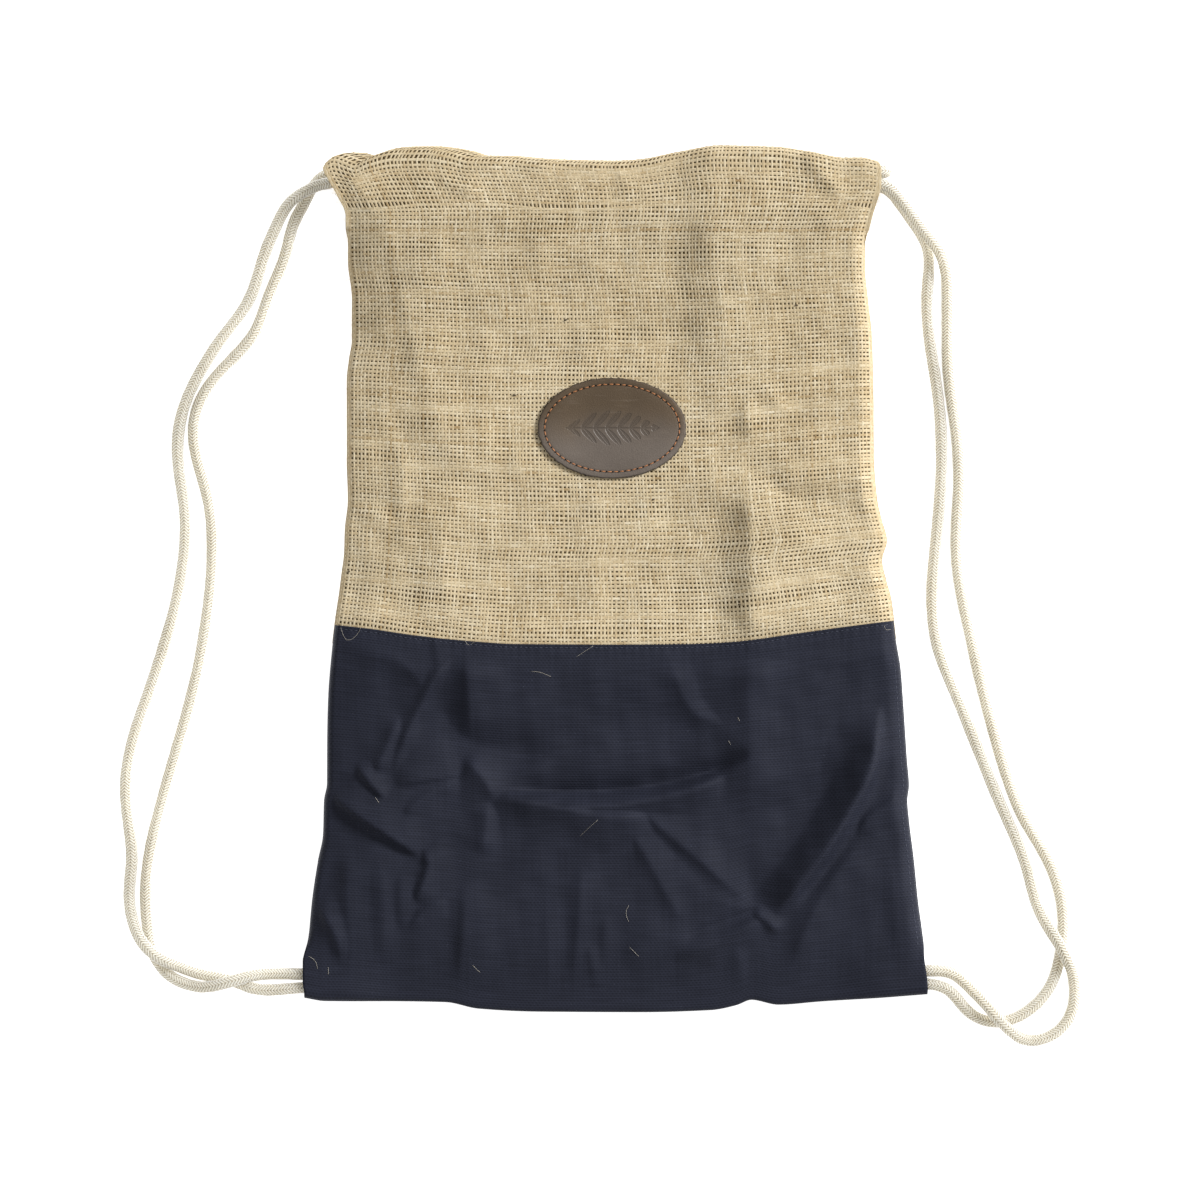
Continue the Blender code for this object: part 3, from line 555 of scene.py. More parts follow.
def canvas_point(u, path):
    """path runs 0..1 down the front, 1..2 round the bottom fold, 2..3 up the back."""
    down = np.clip(path, 0, 1)
    turn = np.clip(path - 1, 0, 1) * np.pi
    up = np.clip(path - 2, 0, 1)
    y = blend(-33.0, -232.0, down)     # a first guess, then improved
    for _ in range(3):
        x = side_x(y, u)
        radius = bottom_radius(x)
        seam = smooth_table(SEAM_LINE, x)
        fold = smooth_table(BOTTOM_EDGE, x) + CLOTH / 2 + radius
        y = blend(seam, fold, down)
        y = np.where(path > 2, blend(fold, seam, up), y)
    lap = lap_height(x, y, ease_down=True)
    z = front_height(x, y) + 2 * PLY_STEP * lap
    y = np.where((path > 1) & (path <= 2), fold - radius * np.sin(turn), y)
    z = np.where(path > 1, BACK_Z + radius * (1 + np.cos(turn)), z)
    z = np.where(path > 2, BACK_Z, z)
    return np.stack([x, y, roll_to_seam(x, y, z)], axis=-1)


def whole_cord(front_strand, rear_strand, turn_x, y, direction):
    """Route of one cord, corner to corner, through both hems.  Points (X, Y) lie on the floor."""
    entry_x = front_strand[0][0] + direction * HEM_LEAD
    stations = np.linspace(entry_x, turn_x - direction * CORD_RADIUS, HEM_STATIONS)
    stations = np.append(stations, turn_x)
    front_run = [(x, y, FRONT_CORD_Z) for x in stations]
    rear_run = [(x, y, REAR_CORD_Z) for x in stations[::-1]]
    middle_z = (FRONT_CORD_Z + REAR_CORD_Z) / 2
    turn = [
        (turn_x + direction * TURN_RADIUS * np.sin(a), y, middle_z + TURN_RADIUS * np.cos(a))
        for a in np.linspace(0, np.pi, 7)[1:-1]
    ]
    route = front_strand[::-1] + front_run + turn + rear_run + rear_strand
    return [point if len(point) == 3 else (*point, REST_Z) for point in route]


# --- shader expressions ---
class Value:
    """A shader socket; arithmetic on it adds Math nodes."""

    def __init__(self, paint, socket):
        self.paint = paint
        self.socket = socket

    def __add__(self, other):
        return self.paint.math("ADD", self, other)

    def __sub__(self, other):
        return self.paint.math("SUBTRACT", self, other)

    def __rsub__(self, other):
        return self.paint.math("SUBTRACT", other, self)

    def __mul__(self, other):
        return self.paint.math("MULTIPLY", self, other)

    def __truediv__(self, other):
        return self.paint.math("DIVIDE", self, other)

    __radd__ = __add__
    __rmul__ = __mul__


class Paint:
    """A Principled material under construction."""

    def __init__(self, name, roughness, shine=0.5):
        self.material = bpy.data.materials.new(name)
        self.material.use_nodes = True
        self.tree = self.material.node_tree
        self.shader = self.tree.nodes["Principled BSDF"]
        self.set("Roughness", roughness)
        self.set("Specular IOR Level", shine)
        self.place = self.node("ShaderNodeTexCoord").outputs["Object"]

    def set(self, name, value):
        """A value that is the same all over the surface."""
        self.shader.inputs[name].default_value = value

    def node(self, kind, settings=None, values=None):
        """A node with its settings made first, and then the values or links of its sockets."""
        made = self.tree.nodes.new(kind)
        for name, setting in (settings or {}).items():
            setattr(made, name, setting)
        for name, value in (values or {}).items():
            socket = made.inputs[name]
            if isinstance(value, Value):
                value = value.socket
            if isinstance(value, bpy.types.NodeSocket):
                self.tree.links.new(value, socket)
            else:
                socket.default_value = value
        return made

    def math(self, operation, *terms):
        made = self.node("ShaderNodeMath", {"operation": operation}, dict(enumerate(terms)))
        return Value(self, made.outputs[0])

    def step(self, value, start, end):
        """Soft step of a value from 0 at start to 1 at end."""
        settings = {"interpolation_type": "SMOOTHSTEP"}
        inputs = {"Value": value, "From Min": start, "From Max": end}
        return Value(self, self.node("ShaderNodeMapRange", settings, inputs).outputs[0])

    def stretched(self, scale, turn=0.0, source=None):
        inputs = {"Vector": source or self.place, "Scale": scale, "Rotation": (0, 0, turn)}
        return self.node("ShaderNodeMapping", None, inputs).outputs[0]

    def noise(self, scale, detail=2.0, stretch=None, source=None):
        vector = self.stretched(stretch, source=source) if stretch else source or self.place
        inputs = {"Vector": vector, "Scale": scale, "Detail": detail}
        return Value(self, self.node("ShaderNodeTexNoise", None, inputs).outputs["Fac"])

    def cells(self, scale, source=None):
        inputs = {"Vector": source or self.place, "Scale": scale}
        return Value(self, self.node("ShaderNodeTexVoronoi", None, inputs).outputs["Distance"])

    def attribute(self, name):
        found = self.node("ShaderNodeAttribute", {"attribute_name": name})
        return Value(self, found.outputs["Fac"])

    def uv_map(self, name):
        return self.node("ShaderNodeUVMap", {"uv_map": name}).outputs["UV"]

    def axes(self, vector):
        """X and Y of a vector."""
        split = self.node("ShaderNodeSeparateXYZ", None, {"Vector": vector})
        return Value(self, split.outputs["X"]), Value(self, split.outputs["Y"])

    def colours(self, value, *stops):
        """Colour of a value between (position, colour) stops."""
        made = self.node("ShaderNodeValToRGB", None, {"Fac": value})
        elements = made.color_ramp.elements
        while len(elements) < len(stops):
            elements.new(0.5)
        for element, (position, colour) in zip(elements, stops):
            element.position = position
            element.color = (*colour, 1.0)
        return made.outputs["Color"]

    def mix(self, amount, first, second, way="MIX"):
        made = self.node("ShaderNodeMix", {"data_type": "RGBA", "blend_type": way})
        for index, value in ((0, amount), (6, first), (7, second)):
            if isinstance(value, Value):
                value = value.socket
            if isinstance(value, bpy.types.NodeSocket):
                self.tree.links.new(value, made.inputs[index])
            elif index:
                made.inputs[index].default_value = (*value, 1.0)
            else:
                made.inputs[index].default_value = value
        return made.outputs[2]

    def colour(self, socket):
        self.tree.links.new(socket, self.shader.inputs["Base Color"])

    def tint(self, value, *stops):
        self.colour(self.colours(value, *stops))

    def roughness(self, value):
        self.tree.links.new(value.socket, self.shader.inputs["Roughness"])

    def bump(self, height, distance, strength=1.0):
        inputs = {"Height": height, "Distance": distance, "Strength": strength}
        made = self.node("ShaderNodeBump", None, inputs)
        self.tree.links.new(made.outputs["Normal"], self.shader.inputs["Normal"])


# --- finishes ---
def jute(name, along):
    """Jute yarn: pale to golden brown, with dark flecks and fibres that run along it."""
    paint = Paint(name, 0.9, shine=0.2)
    fine, coarse = 2600, 160
    stretch = (fine, coarse, fine) if along == "Y" else (coarse, fine, fine)
    fibre = paint.noise(1.0, 3.0, stretch=stretch)
    cloud = paint.noise(26.0, 2.0)
    tone = paint.attribute("tone") + (fibre - 0.5) * 0.6 + (cloud - 0.5) * 0.22
    paint.tint(
        tone,
        (0.0, (0.19, 0.117, 0.053)),
        (0.22, (0.395, 0.281, 0.143)),
        (0.5, (0.572, 0.465, 0.295)),
        (0.8, (0.725, 0.637, 0.465)),
        (1.0, (0.84, 0.78, 0.64)),
    )
    paint.bump(fibre, 0.00025, 0.8)
    return paint.material


def jute_fuzz_painted_shade():
    """Matted fibres deep in the weave, dark with the painted shade of the holes, darker in some
    holes than in others.
    """
    paint = Paint("jute_fuzz_painted_shade", 0.95, shine=0.1)
    tone = paint.noise(900.0, 2.0) * 0.8 + paint.noise(120.0, 2.0) * 0.2
    paint.tint(
        tone,
        (0.32, (0.030, 0.018, 0.007)),
        (0.50, (0.085, 0.056, 0.025)),
        (0.68, (0.22, 0.16, 0.085)),
    )
    return paint.material


def navy_canvas():
    """Plain-woven cotton: the two yarns cross over each other, a few are paler; shade is painted
    darker where the weave is low.
    """
    paint = Paint("navy_canvas", 0.75, shine=0.2)
    cloth = paint.uv_map("Cloth")
    across, along = paint.axes(cloth)
    warp_wave = paint.math("SINE", across * (np.pi / CANVAS_WARP_PITCH))
    weft_wave = paint.math("SINE", along * (np.pi / CANVAS_WEFT_PITCH))
    crossing = warp_wave * weft_wave
    rib = 1 - weft_wave * weft_wave
    height = crossing * 0.35 + rib * 0.65
    slub = paint.noise(1.0, 2.0, stretch=(0.05, 0.9, 1.0), source=cloth)
    warp_slub = paint.noise(1.0, 2.0, stretch=(0.8, 0.03, 1.0), source=cloth)
    cloud = paint.noise(30.0, 3.0)
    speck = paint.step(paint.noise(900.0, 1.0), 0.70, 0.78)
    uneven = (slub - 0.5) * 0.5 + (warp_slub - 0.5) * 0.3 + (cloud - 0.5) * 0.3
    # painted shade: the colour is darker where the weave is low, between the yarns
    tone = 0.33 + height * 0.34 + uneven + speck * 0.3
    paint.tint(
        tone,
        (0.0, (0.0052, 0.0060, 0.0118)),
        (0.45, (0.0138, 0.0157, 0.0272)),
        (0.75, (0.0215, 0.0243, 0.0410)),
        (1.0, (0.046, 0.051, 0.073)),
    )
    paint.bump(height + (slub - 0.5) * 0.5, 0.00016, 0.7)
    return paint.material


def brown_leather():
    """Waxed leather: dark and warm at the top; a painted sheen makes it greyer and paler towards
    the bottom.
    """
    paint = Paint("brown_leather", 0.45, shine=0.4)
    _, up = paint.axes(paint.place)
    grain = paint.cells(1400.0)
    pores = paint.noise(2400.0, 2.0)
    cloud = paint.noise(34.0, 4.0)
    scuff = paint.step(paint.noise(1.0, 3.0, stretch=(60, 420, 60)), 0.56, 0.74)
    rim = paint.attribute("rim")
    # painted sheen: the face turns greyer and paler from here down
    painted_sheen = paint.step(up + (cloud - 0.5) * 0.02, *PAINTED_SHEEN_FROM)
    tone = 0.42 + (cloud - 0.5) * 0.7 + (grain - 0.4) * 0.20 + (pores - 0.5) * 0.25
    warm = paint.colours(
        tone,
        (0.0, (0.047, 0.030, 0.016)),
        (0.45, (0.084, 0.056, 0.031)),
        (1.0, (0.150, 0.105, 0.065)),
    )
    sheen_grey = paint.colours(
        tone,
        (0.0, (0.078, 0.062, 0.050)),
        (0.45, (0.138, 0.112, 0.092)),
        (1.0, (0.215, 0.180, 0.150)),
    )
    face = paint.mix(painted_sheen, warm, sheen_grey)
    pressed = pressed_sprig(paint)
    face = paint.mix(pressed * 0.35, face, (0.045, 0.034, 0.026))
    worn = paint.mix(scuff * 0.15, face, (0.20, 0.155, 0.115))
    paint.colour(paint.mix(rim, worn, (0.034, 0.025, 0.018)))
    paint.roughness(0.42 + (cloud - 0.5) * 0.25 + scuff * 0.18 + rim * 0.35)
    paint.bump(grain * 0.4 + pores * 0.3 - pressed, 0.00035, 0.6)
    return paint.material


def pressed_sprig(paint):
    """1 where a leafy sprig is pressed into the patch, 0 elsewhere."""
    scale = 1 / (SPRIG_HALF * MM)
    middle = [-side * MM * scale for side in PATCH_CENTRE]
    inputs = {"Vector": paint.place, "Scale": (scale,) * 3, "Location": (*middle, 0)}
    along, across = paint.axes(paint.node("ShaderNodeMapping", None, inputs).outputs[0])
    off = paint.math("ABSOLUTE", across)
    ends = 1 - along * along
    share = off / paint.math("MAXIMUM", ends * LEAF_REACH, 0.01)
    swell = paint.math("SQRT", paint.math("MAXIMUM", share * (1 - share), 0.0))
    from_gap = paint.math("PINGPONG", along - off * 0.8, LEAF_PITCH / 2)
    leaf = paint.step(from_gap + swell * LEAF_PITCH * 0.72, LEAF_PITCH * 0.48, LEAF_PITCH * 0.58)
    leaf = leaf * paint.step(1 - share, 0.0, 0.08)
    vein = paint.step(paint.math("ABSOLUTE", from_gap - LEAF_PITCH / 2), 0.003, 0.012)
    stem = 1 - paint.step(off, 0.012, 0.024)
    return paint.math("MAXIMUM", leaf * vein, stem) * paint.step(ends, 0.0, 0.05)


def cotton_cord():
    """Undyed cotton braid: rows of chevrons, with a groove between each two strands, where shade is
    painted darker.
    """
    paint = Paint("cotton_cord", 0.9, shine=0.2)
    paint.set("Subsurface Weight", 1.0)
    paint.set("Subsurface Radius", (1.0, 0.95, 0.85))
    paint.set("Subsurface Scale", COTTON_DEPTH)
    cord = paint.uv_map("Braid")
    around, along = paint.axes(cord)
    fold = paint.math("PINGPONG", around, BRAID_ROW)
    slant = along + fold * 0.85
    wave = paint.math("SINE", slant * (np.pi / BRAID_STRAND))
    strand = wave * wave
    from_groove = paint.math("PINGPONG", fold, BRAID_ROW / 2) / (BRAID_ROW / 2)
    row = paint.step(from_groove, 0.0, 0.55)
    relief = strand * 0.8 + row * 0.2
    fibre = paint.noise(1.0, 2.0, stretch=(2.4, 1.1, 1.0), source=cord)
    cloud = paint.noise(30.0, 3.0)
    # painted shade: the colour is darker where the relief is low, in the grooves between strands
    tone = 0.10 + relief * 0.62 + (fibre - 0.5) * 0.55 + (cloud - 0.5) * 0.25
    paint.tint(
        tone,
        (0.0, (0.14, 0.117, 0.08)),
        (0.35, (0.43, 0.40, 0.335)),
        (0.7, (0.655, 0.635, 0.575)),
        (1.0, (0.75, 0.735, 0.68)),
    )
    paint.bump(relief + fibre * 0.35, 0.0004, 0.6)
    return paint.material


def thread(name, dark, light):
    """Two-ply sewing thread, whose plies twist round each other."""
    paint = Paint(name, 0.6, shine=0.35)
    ply = paint.noise(1.0, 1.0, stretch=(2400, 2400, 2400))
    paint.tint(ply, (0.3, dark), (0.7, light))
    paint.bump(ply, 0.00012, 0.7)
    return paint.material


# --- making meshes ---
def active_mesh(name):
    item = bpy.context.object
    item.name = name
    return item


def deselect():
    if bpy.context.object and bpy.context.object.mode != "OBJECT":
        bpy.ops.object.mode_set(mode="OBJECT")
    bpy.ops.object.select_all(action="DESELECT")


def points_of(item):
    flat = np.empty(len(item.data.vertices) * 3, np.float32)
    item.data.vertices.foreach_get("co", flat)
    return flat.reshape(-1, 3).astype(float)


def set_points(item, points):
    item.data.vertices.foreach_set("co", np.ascontiguousarray(points, np.float32).ravel())
    item.data.update()


def apply_all(item):
    for modifier in list(item.modifiers):
        bpy.ops.object.modifier_apply(modifier=modifier.name)


def thicken(item, thickness):
    """Give a sheet its thickness, half of it to each side."""
    solid = item.modifiers.new("thickness", "SOLIDIFY")
    solid.thickness = thickness * MM
    solid.offset = 0.0
    apply_all(item)


STRIP_STEP = 1.5                  # strips of unit width stand this far apart at first


def strips(name, count, across, along):
    """Separate flat strips in one mesh, and each vertex's strip, column and row."""
    deselect()
    bpy.ops.mesh.primitive_grid_add(x_subdivisions=across, y_subdivisions=along, size=1)
    item = active_mesh(name)
    if count > 1:
        copies = item.modifiers.new("side_by_side", "ARRAY")
        copies.count = count
        copies.use_relative_offset = False
        copies.use_constant_offset = True
        copies.constant_offset_displace = (STRIP_STEP, 0, 0)
        apply_all(item)
    flat = points_of(item)
    strip = np.floor((flat[:, 0] + 0.5) / STRIP_STEP + 1e-4).astype(int)
    column = np.rint((flat[:, 0] + 0.5 - strip * STRIP_STEP) * across).astype(int)
    row = np.rint((flat[:, 1] + 0.5) * along).astype(int)
    return item, strip, column, row


def rows(*spans):
    """Rows of a sheet from (start, end, count) spans of its path."""
    parts = [np.linspace(start, end, count + 1)[:-1] for start, end, count in spans]
    return np.append(np.concatenate(parts), spans[-1][1])


def map_uv(item, name, u, v):
    """A UV map from values at the vertices, made while every seam is still open."""
    layer = item.data.uv_layers.new(name=name)
    corners = np.empty(len(item.data.loops), np.int32)
    item.data.loops.foreach_get("vertex_index", corners)
    layer.uv.foreach_set("vector", np.stack([u, v], 1)[corners].astype(np.float32).ravel())


def add_attribute(item, name, values):
    made = item.data.attributes.new(name, "FLOAT", "POINT")
    made.data.foreach_set("value", np.ascontiguousarray(values, np.float32))


def close_tubes(item, sides):
    """Merge each tube's two long edges and cap its ends."""
    bpy.context.view_layer.objects.active = item
    bpy.ops.object.mode_set(mode="EDIT")
    bpy.ops.mesh.select_all(action="SELECT")
    bpy.ops.mesh.remove_doubles(threshold=1e-7)
    bpy.ops.mesh.fill_holes(sides=sides)
    bpy.ops.mesh.select_all(action="SELECT")
    bpy.ops.mesh.normals_make_consistent(inside=False)
    bpy.ops.object.mode_set(mode="OBJECT")


def finish_piece(item, material, slot, *nodes):
    item.data.materials.clear()
    item.data.materials.append(material)
    item.data.shade_smooth()
    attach(item, "root")
    if nodes:
        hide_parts(*nodes)
    return item


def round_rings(heading, corner, sides):
    """For each corner of thin tubes: its direction from the middle, and the way up there."""
    across = unit(np.cross((0.0, 0.0, 1.0), heading))
    up = np.cross(heading, across)
    angle = 2 * np.pi * (corner % sides) / sides
    return across * np.cos(angle)[:, None] + up * np.sin(angle)[:, None], up


def pinched_threads(name, starts, ends, thick, material, slot):
    """Short rounded stitches that stand out of the cloth between their two ends."""
    sides, along = 6, 6
    item, stitch, corner, node = strips(name, len(starts), sides, along)
    share = node / along
    ring, up = round_rings(unit(ends - starts)[stitch], corner, sides)
    swell = np.sqrt(np.maximum(1 - (2 * share - 1) ** 2, 0.06))[:, None]
    middle = blend(starts[stitch], ends[stitch], share[:, None]) + up * swell * thick * 0.3
    set_points(item, (middle + ring * swell * thick / 2) * MM)
    close_tubes(item, sides)
    finish_piece(item, material, slot)


def loose_fibres(name, curves, thick, material, slot):
    """Fine hairs along curves that all have the same number of points."""
    sides = 3
    curves = np.array(curves)
    item, fibre, corner, node = strips(name, len(curves), sides, curves.shape[1] - 1)
    ring, _ = round_rings(unit(np.gradient(curves, axis=1))[fibre, node], corner, sides)
    set_points(item, (curves[fibre, node] + ring * thick / 2) * MM)
    close_tubes(item, sides)
    finish_piece(item, material, slot)


def marks_along(line, pitch, share):
    """Starts and ends of marks that stand pitch apart on a line and fill that share of it."""
    length = run_lengths(line)
    first = np.arange(0, length[-1] - pitch, pitch)
    starts = [np.interp(first, length, line[:, k]) for k in range(line.shape[1])]
    ends = [np.interp(first + pitch * share, length, line[:, k]) for k in range(line.shape[1])]
    return np.stack(starts, 1), np.stack(ends, 1)


# --- burlap ---
def weft_paths():
    """The path value of each weft, at an even pitch along the cloth."""
    ends = np.concatenate([[0.0], np.cumsum(PANEL_LENGTHS)])
    at = np.arange(0.0, ends[-1], WEFT_PITCH)
    return np.interp(at, ends, np.arange(5.0))


def across_panel(number, last, on_roll):
    """Place across a panel of yarns 0 to last, which stand closer on the rolls to the seams."""
    return np.interp(number, [0, on_roll, last - on_roll, last], [0, ROLL_SHARE, 1 - ROLL_SHARE, 1])


def burlap_fuzz(side):
    """The loose fibres that half fill the holes of the weave, as one thin sheet inside it that
    carries their painted shade.
    """
    front = side == "front"
    path = rows((0, 1, 80 if front else 36), (1, 2, 10), (2, 3, 10))
    columns = 96 if front else 48
    item, _, column, row = strips(f"burlap_{side}_fuzz", 1, columns, len(path) - 1)
    points = burlap_point(across_panel(column, columns, 2), path[row], front)
    points[:, 2] += -FUZZ_DEPTH if front else FUZZ_DEPTH
    set_points(item, points * MM)
    thicken(item, FUZZ_THICK)
    return finish_piece(item, FUZZ_SHADE, "burlap")


def yarn_tone(rng, yarn, node, count, seed):
    """Tone along the yarns: each has its own, with streaks, stained yarns and dark runs."""
    base = YARN_TONE + YARN_TONE_SPREAD * rng.normal(0, 1, count)
    stain = np.clip(rng.normal(0, 1, count) - STAIN[0], 0, 1)
    tone = base[yarn] - STAIN[1] * stain[yarn]
    tone = tone + wander(yarn * 5.1, node, STREAK[1], seed + 6) * STREAK[0]
    tone = tone + wander(yarn * 9.7, node, SHORT_STREAK[1], seed + 8) * SHORT_STREAK[0]
    run = wander(yarn * 3.3, node, DARK_RUN[2], seed + 9)
    return np.clip(tone - np.clip(run - DARK_RUN[0], 0, 1) * DARK_RUN[1], 0, 1)


def burlap_panel(side, sides, seed):
    """The warp and the weft of one panel, as two meshes of yarns that cross at one grid."""
    front = side == "front"
    rng = np.random.default_rng(seed)
    path = weft_paths()
    wefts = len(path)
    u = across_panel(np.arange(WARPS), WARPS - 1, ROLL_WARPS)
    warp_index, weft_index = np.meshgrid(np.arange(WARPS), np.arange(wefts))
    inner = np.sin(np.pi * u) ** 0.3
    shift = YARN_SHIFT * wander(warp_index, weft_index * 0.12, 5, seed + 1)
    at_u = u[None, :] + shift * inner / WARPS
    step = np.gradient(path)[:, None]
    lift = YARN_SHIFT * wander(warp_index * 0.10, weft_index, 5, seed + 2)
    at_path = path[:, None] + lift * step * np.clip(weft_index, 0, 1)
    crossing = burlap_point(at_u, np.clip(at_path, 0, 4), front)
    to_right = unit(np.gradient(crossing, axis=1))
    upward = unit(np.gradient(crossing, axis=0))
    out = unit(np.cross(to_right, upward))
    if not front:
        out = -out
    over = np.where((warp_index + weft_index) % 2 == 0, 1.0, -1.0)
    openness = wander(warp_index * 1.0, weft_index * 1.0, 26, seed + 3)
    for kind, sign, direction in (("warp", 1.0, to_right), ("weft", -1.0, upward)):
        is_warp = kind == "warp"
        count = WARPS if is_warp else wefts
        length = wefts if is_warp else WARPS
        item, yarn, corner, node = strips(f"burlap_{side}_{kind}", count, sides, length - 1)
        at = (node, yarn) if is_warp else (yarn, node)
        thick_yarn = rng.normal(0, 1, count)
        slub = wander(yarn * 7.3, node, 9, seed + 4 + is_warp)
        spacing = WARP_PITCH if is_warp else WEFT_PITCH
        fill = (WARP_FILL if is_warp else WEFT_FILL) + (0 if front else BACK_FILL)
        fill = fill + FILL_BY_YARN * thick_yarn[yarn] + FILL_BY_SLUB * slub
        fill = fill - FILL_BY_PLACE * openness[at]
        width = spacing * np.clip(fill, *FILL_LIMITS)
        middle = crossing[at] + out[at] * (sign * YARN_SWING * over[at])[:, None]
        angle = 2 * np.pi * (corner % sides) / sides + (np.pi / 2 if sides == 3 else 0)
        wide = np.cos(angle) * width / 2 / (np.cos(np.pi / 6) if sides == 3 else 1)
        high = np.sin(angle) * YARN_THICK / 2
        points = middle + direction[at] * wide[:, None] + out[at] * high[:, None]
        margin = 0.06
        u_map = (yarn + margin + (1 - 2 * margin) * corner / sides) / count
        map_uv(item, "OFBake", u_map, node / (length - 1))
        set_points(item, points * MM)
        add_attribute(item, "tone", yarn_tone(rng, yarn, node, count, seed))
        close_tubes(item, sides)
        finish_piece(item, JUTE[kind], "burlap")
        item.data.set_sharp_from_angle(angle=YARN_EDGE)
    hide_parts(f"burlap_{side}")
    burlap_fuzz(side)


# --- canvas ---
def seam_relief(x, y):
    """The canvas's turned top edge, the groove of its topstitching and the pucker below it."""
    below = smooth_table(SEAM_LINE, x) - y
    turned = 0.45 * np.exp(-((below / 0.9) ** 2))
    pulled = -0.3 * np.exp(-(((below - STITCH_INSET) / 0.8) ** 2))
    pucker = 0.14 * np.sin(x * 2 * np.pi / 5.2 + 1.3 * np.sin(x / 9)) * np.exp(-((below / 7) ** 2))
    return turned + pulled + pucker


def canvas_top(x, y):
    """Height of the canvas's upper face."""
    lap = lap_height(x, y, ease_down=True)
    middle = front_height(x, y) + 2 * PLY_STEP * lap
    return middle + seam_relief(x, y) + CANVAS_THICK / 2


def canvas_base():
    path = rows((0, 0.06, 12), (0.06, 1, 140), (1, 2, 8), (2, 3, 22))
    item, _, column, row = strips("canvas_base_cloth", 1, CANVAS_COLUMNS, len(path) - 1)
    u = column / CANVAS_COLUMNS
    points = canvas_point(u, path[row])
    points[:, 2] += np.where(path[row] < 1, seam_relief(points[:, 0], points[:, 1]), 0)
    set_points(item, points * MM)
    run = np.interp(path[row], range(4), CANVAS_RUN)
    map_uv(item, "Cloth", points[:, 0] + 200, run)
    thicken(item, CANVAS_THICK)
    finish_piece(item, navy_canvas(), "canvas", "canvas_base")


# --- cords ---
def even_steps(curve, step):
    """The curve read again at even steps of about that length."""
    length = run_lengths(curve)
    at = np.linspace(0, length[-1], int(round(length[-1] / step)) + 1)
    return np.stack([np.interp(at, length, curve[:, k]) for k in range(3)], 1), length[-1]


def carried_frames(line):
    """Two directions square to the line at each point, carried along it without twist."""
    heading = unit(np.gradient(line, axis=0))
    side = np.empty_like(line)
    side[0] = unit(np.cross(heading[0], (0.0, 0.0, 1.0)))
    for i in range(1, len(line)):
        carried = side[i - 1] - heading[i] * np.dot(side[i - 1], heading[i])
        side[i] = carried / np.linalg.norm(carried)
    return side, np.cross(heading, side)


def braided_cord(name, node, route):
    """A round cord, a little thicker and thinner along its way."""
    line, length = even_steps(smooth_route(route, 0.4), BRAID_STEP)
    side, up = carried_frames(line)
    item, _, column, row = strips(name, 1, BRAID_SIDES, len(line) - 1)
    angle = 2 * np.pi * (column % BRAID_SIDES) / BRAID_SIDES
    uneven = 0.10 * wander(column * 0.0, row * BRAID_STEP, 26, 31)
    lumps = 0.06 * wander(column % BRAID_SIDES * 2.0, row * 1.0, 9, 33)
    offset = side[row] * np.cos(angle)[:, None] + up[row] * np.sin(angle)[:, None]
    set_points(item, (line[row] + offset * (CORD_RADIUS + uneven + lumps)[:, None]) * MM)
    map_uv(item, "Braid", column * BRAID_AROUND / BRAID_SIDES, row * BRAID_STEP)
    map_uv(item, "OFBake", column / BRAID_SIDES, row / (len(line) - 1))
    close_tubes(item, BRAID_SIDES)
    finish_piece(item, COTTON, "cord", node)


# --- leather patch ---
def patch_place(angle, inset):
    x = PATCH_CENTRE[0] + (PATCH_HALF[0] - inset) * np.cos(angle)
    return x, PATCH_CENTRE[1] + (PATCH_HALF[1] - inset) * np.sin(angle)


def leather_patch():
    rng = np.random.default_rng(83)
    item, _, column, row = strips("oval_patch", 1, PATCH_COLUMNS, len(PATCH_PROFILE) - 1)
    angle = 2 * np.pi * (column % PATCH_COLUMNS) / PATCH_COLUMNS
    inset, height = np.array(PATCH_PROFILE)[row].T
    ragged = RAGGED * wander(np.arange(PATCH_COLUMNS), 0, 11, 7)
    ragged[rng.choice(PATCH_COLUMNS, NICKS, replace=False)] -= rng.uniform(*NICK_DEPTH, NICKS)
    at_rim = np.clip(1 - inset / 1.0, 0, 1)
    x, y = patch_place(angle, inset + ragged[column % PATCH_COLUMNS] * at_rim)
    droop = -0.25 * (1 - np.clip(inset / 9, 0, 1)) ** 2 * np.where(height > 0.2, 1, 0)
    points = np.stack([x, y, PATCH_BASE + height + droop], 1)
    set_points(item, points * MM)
    add_attribute(item, "rim", np.clip(1.15 - inset / 0.55, 0, 1) * (height > 0.1))
    close_tubes(item, PATCH_COLUMNS)
    finish_piece(item, brown_leather(), "leather", "leather_patch")
    angles = np.linspace(0, 2 * np.pi, 721)
    x, y = patch_place(angles, PATCH_STITCH_INSET)
    ring = np.stack([x, y, np.full_like(x, PATCH_STITCH_Z)], 1)
    pitch = np.linalg.norm(np.diff(ring, axis=0), axis=1).sum() / PATCH_STITCHES
    past_start = np.concatenate([ring, ring[1:12]])
    starts, ends = marks_along(past_start, pitch, PATCH_STITCH_SHARE)
    wobble = rng.normal(0, 0.09, (len(starts), 3)) * (1, 1, 0.3)
    amber = thread("amber_thread", (0.30, 0.12, 0.045), (0.56, 0.24, 0.10))
    pinched_threads(
        "patch_stitches", starts + wobble, ends - wobble, PATCH_STITCH_THICK, amber, "leather"
    )
    hole_starts, hole_ends = marks_along(past_start, pitch, HOLE_SHARE)
    # near-black marks in the stitch holes: painted shade inside the holes
    hole_shade = Paint("stitch_hole_shade", 0.9, shine=0.1)
    hole_shade.set("Base Color", (0.012, 0.008, 0.006, 1))
    shift = (starts - ends) * 0.32
    hole_starts, hole_ends = hole_starts + shift, hole_ends + shift
    pinched_threads("patch_hole_shades", hole_starts, hole_ends, HOLE_THICK, hole_shade.material, "leather")


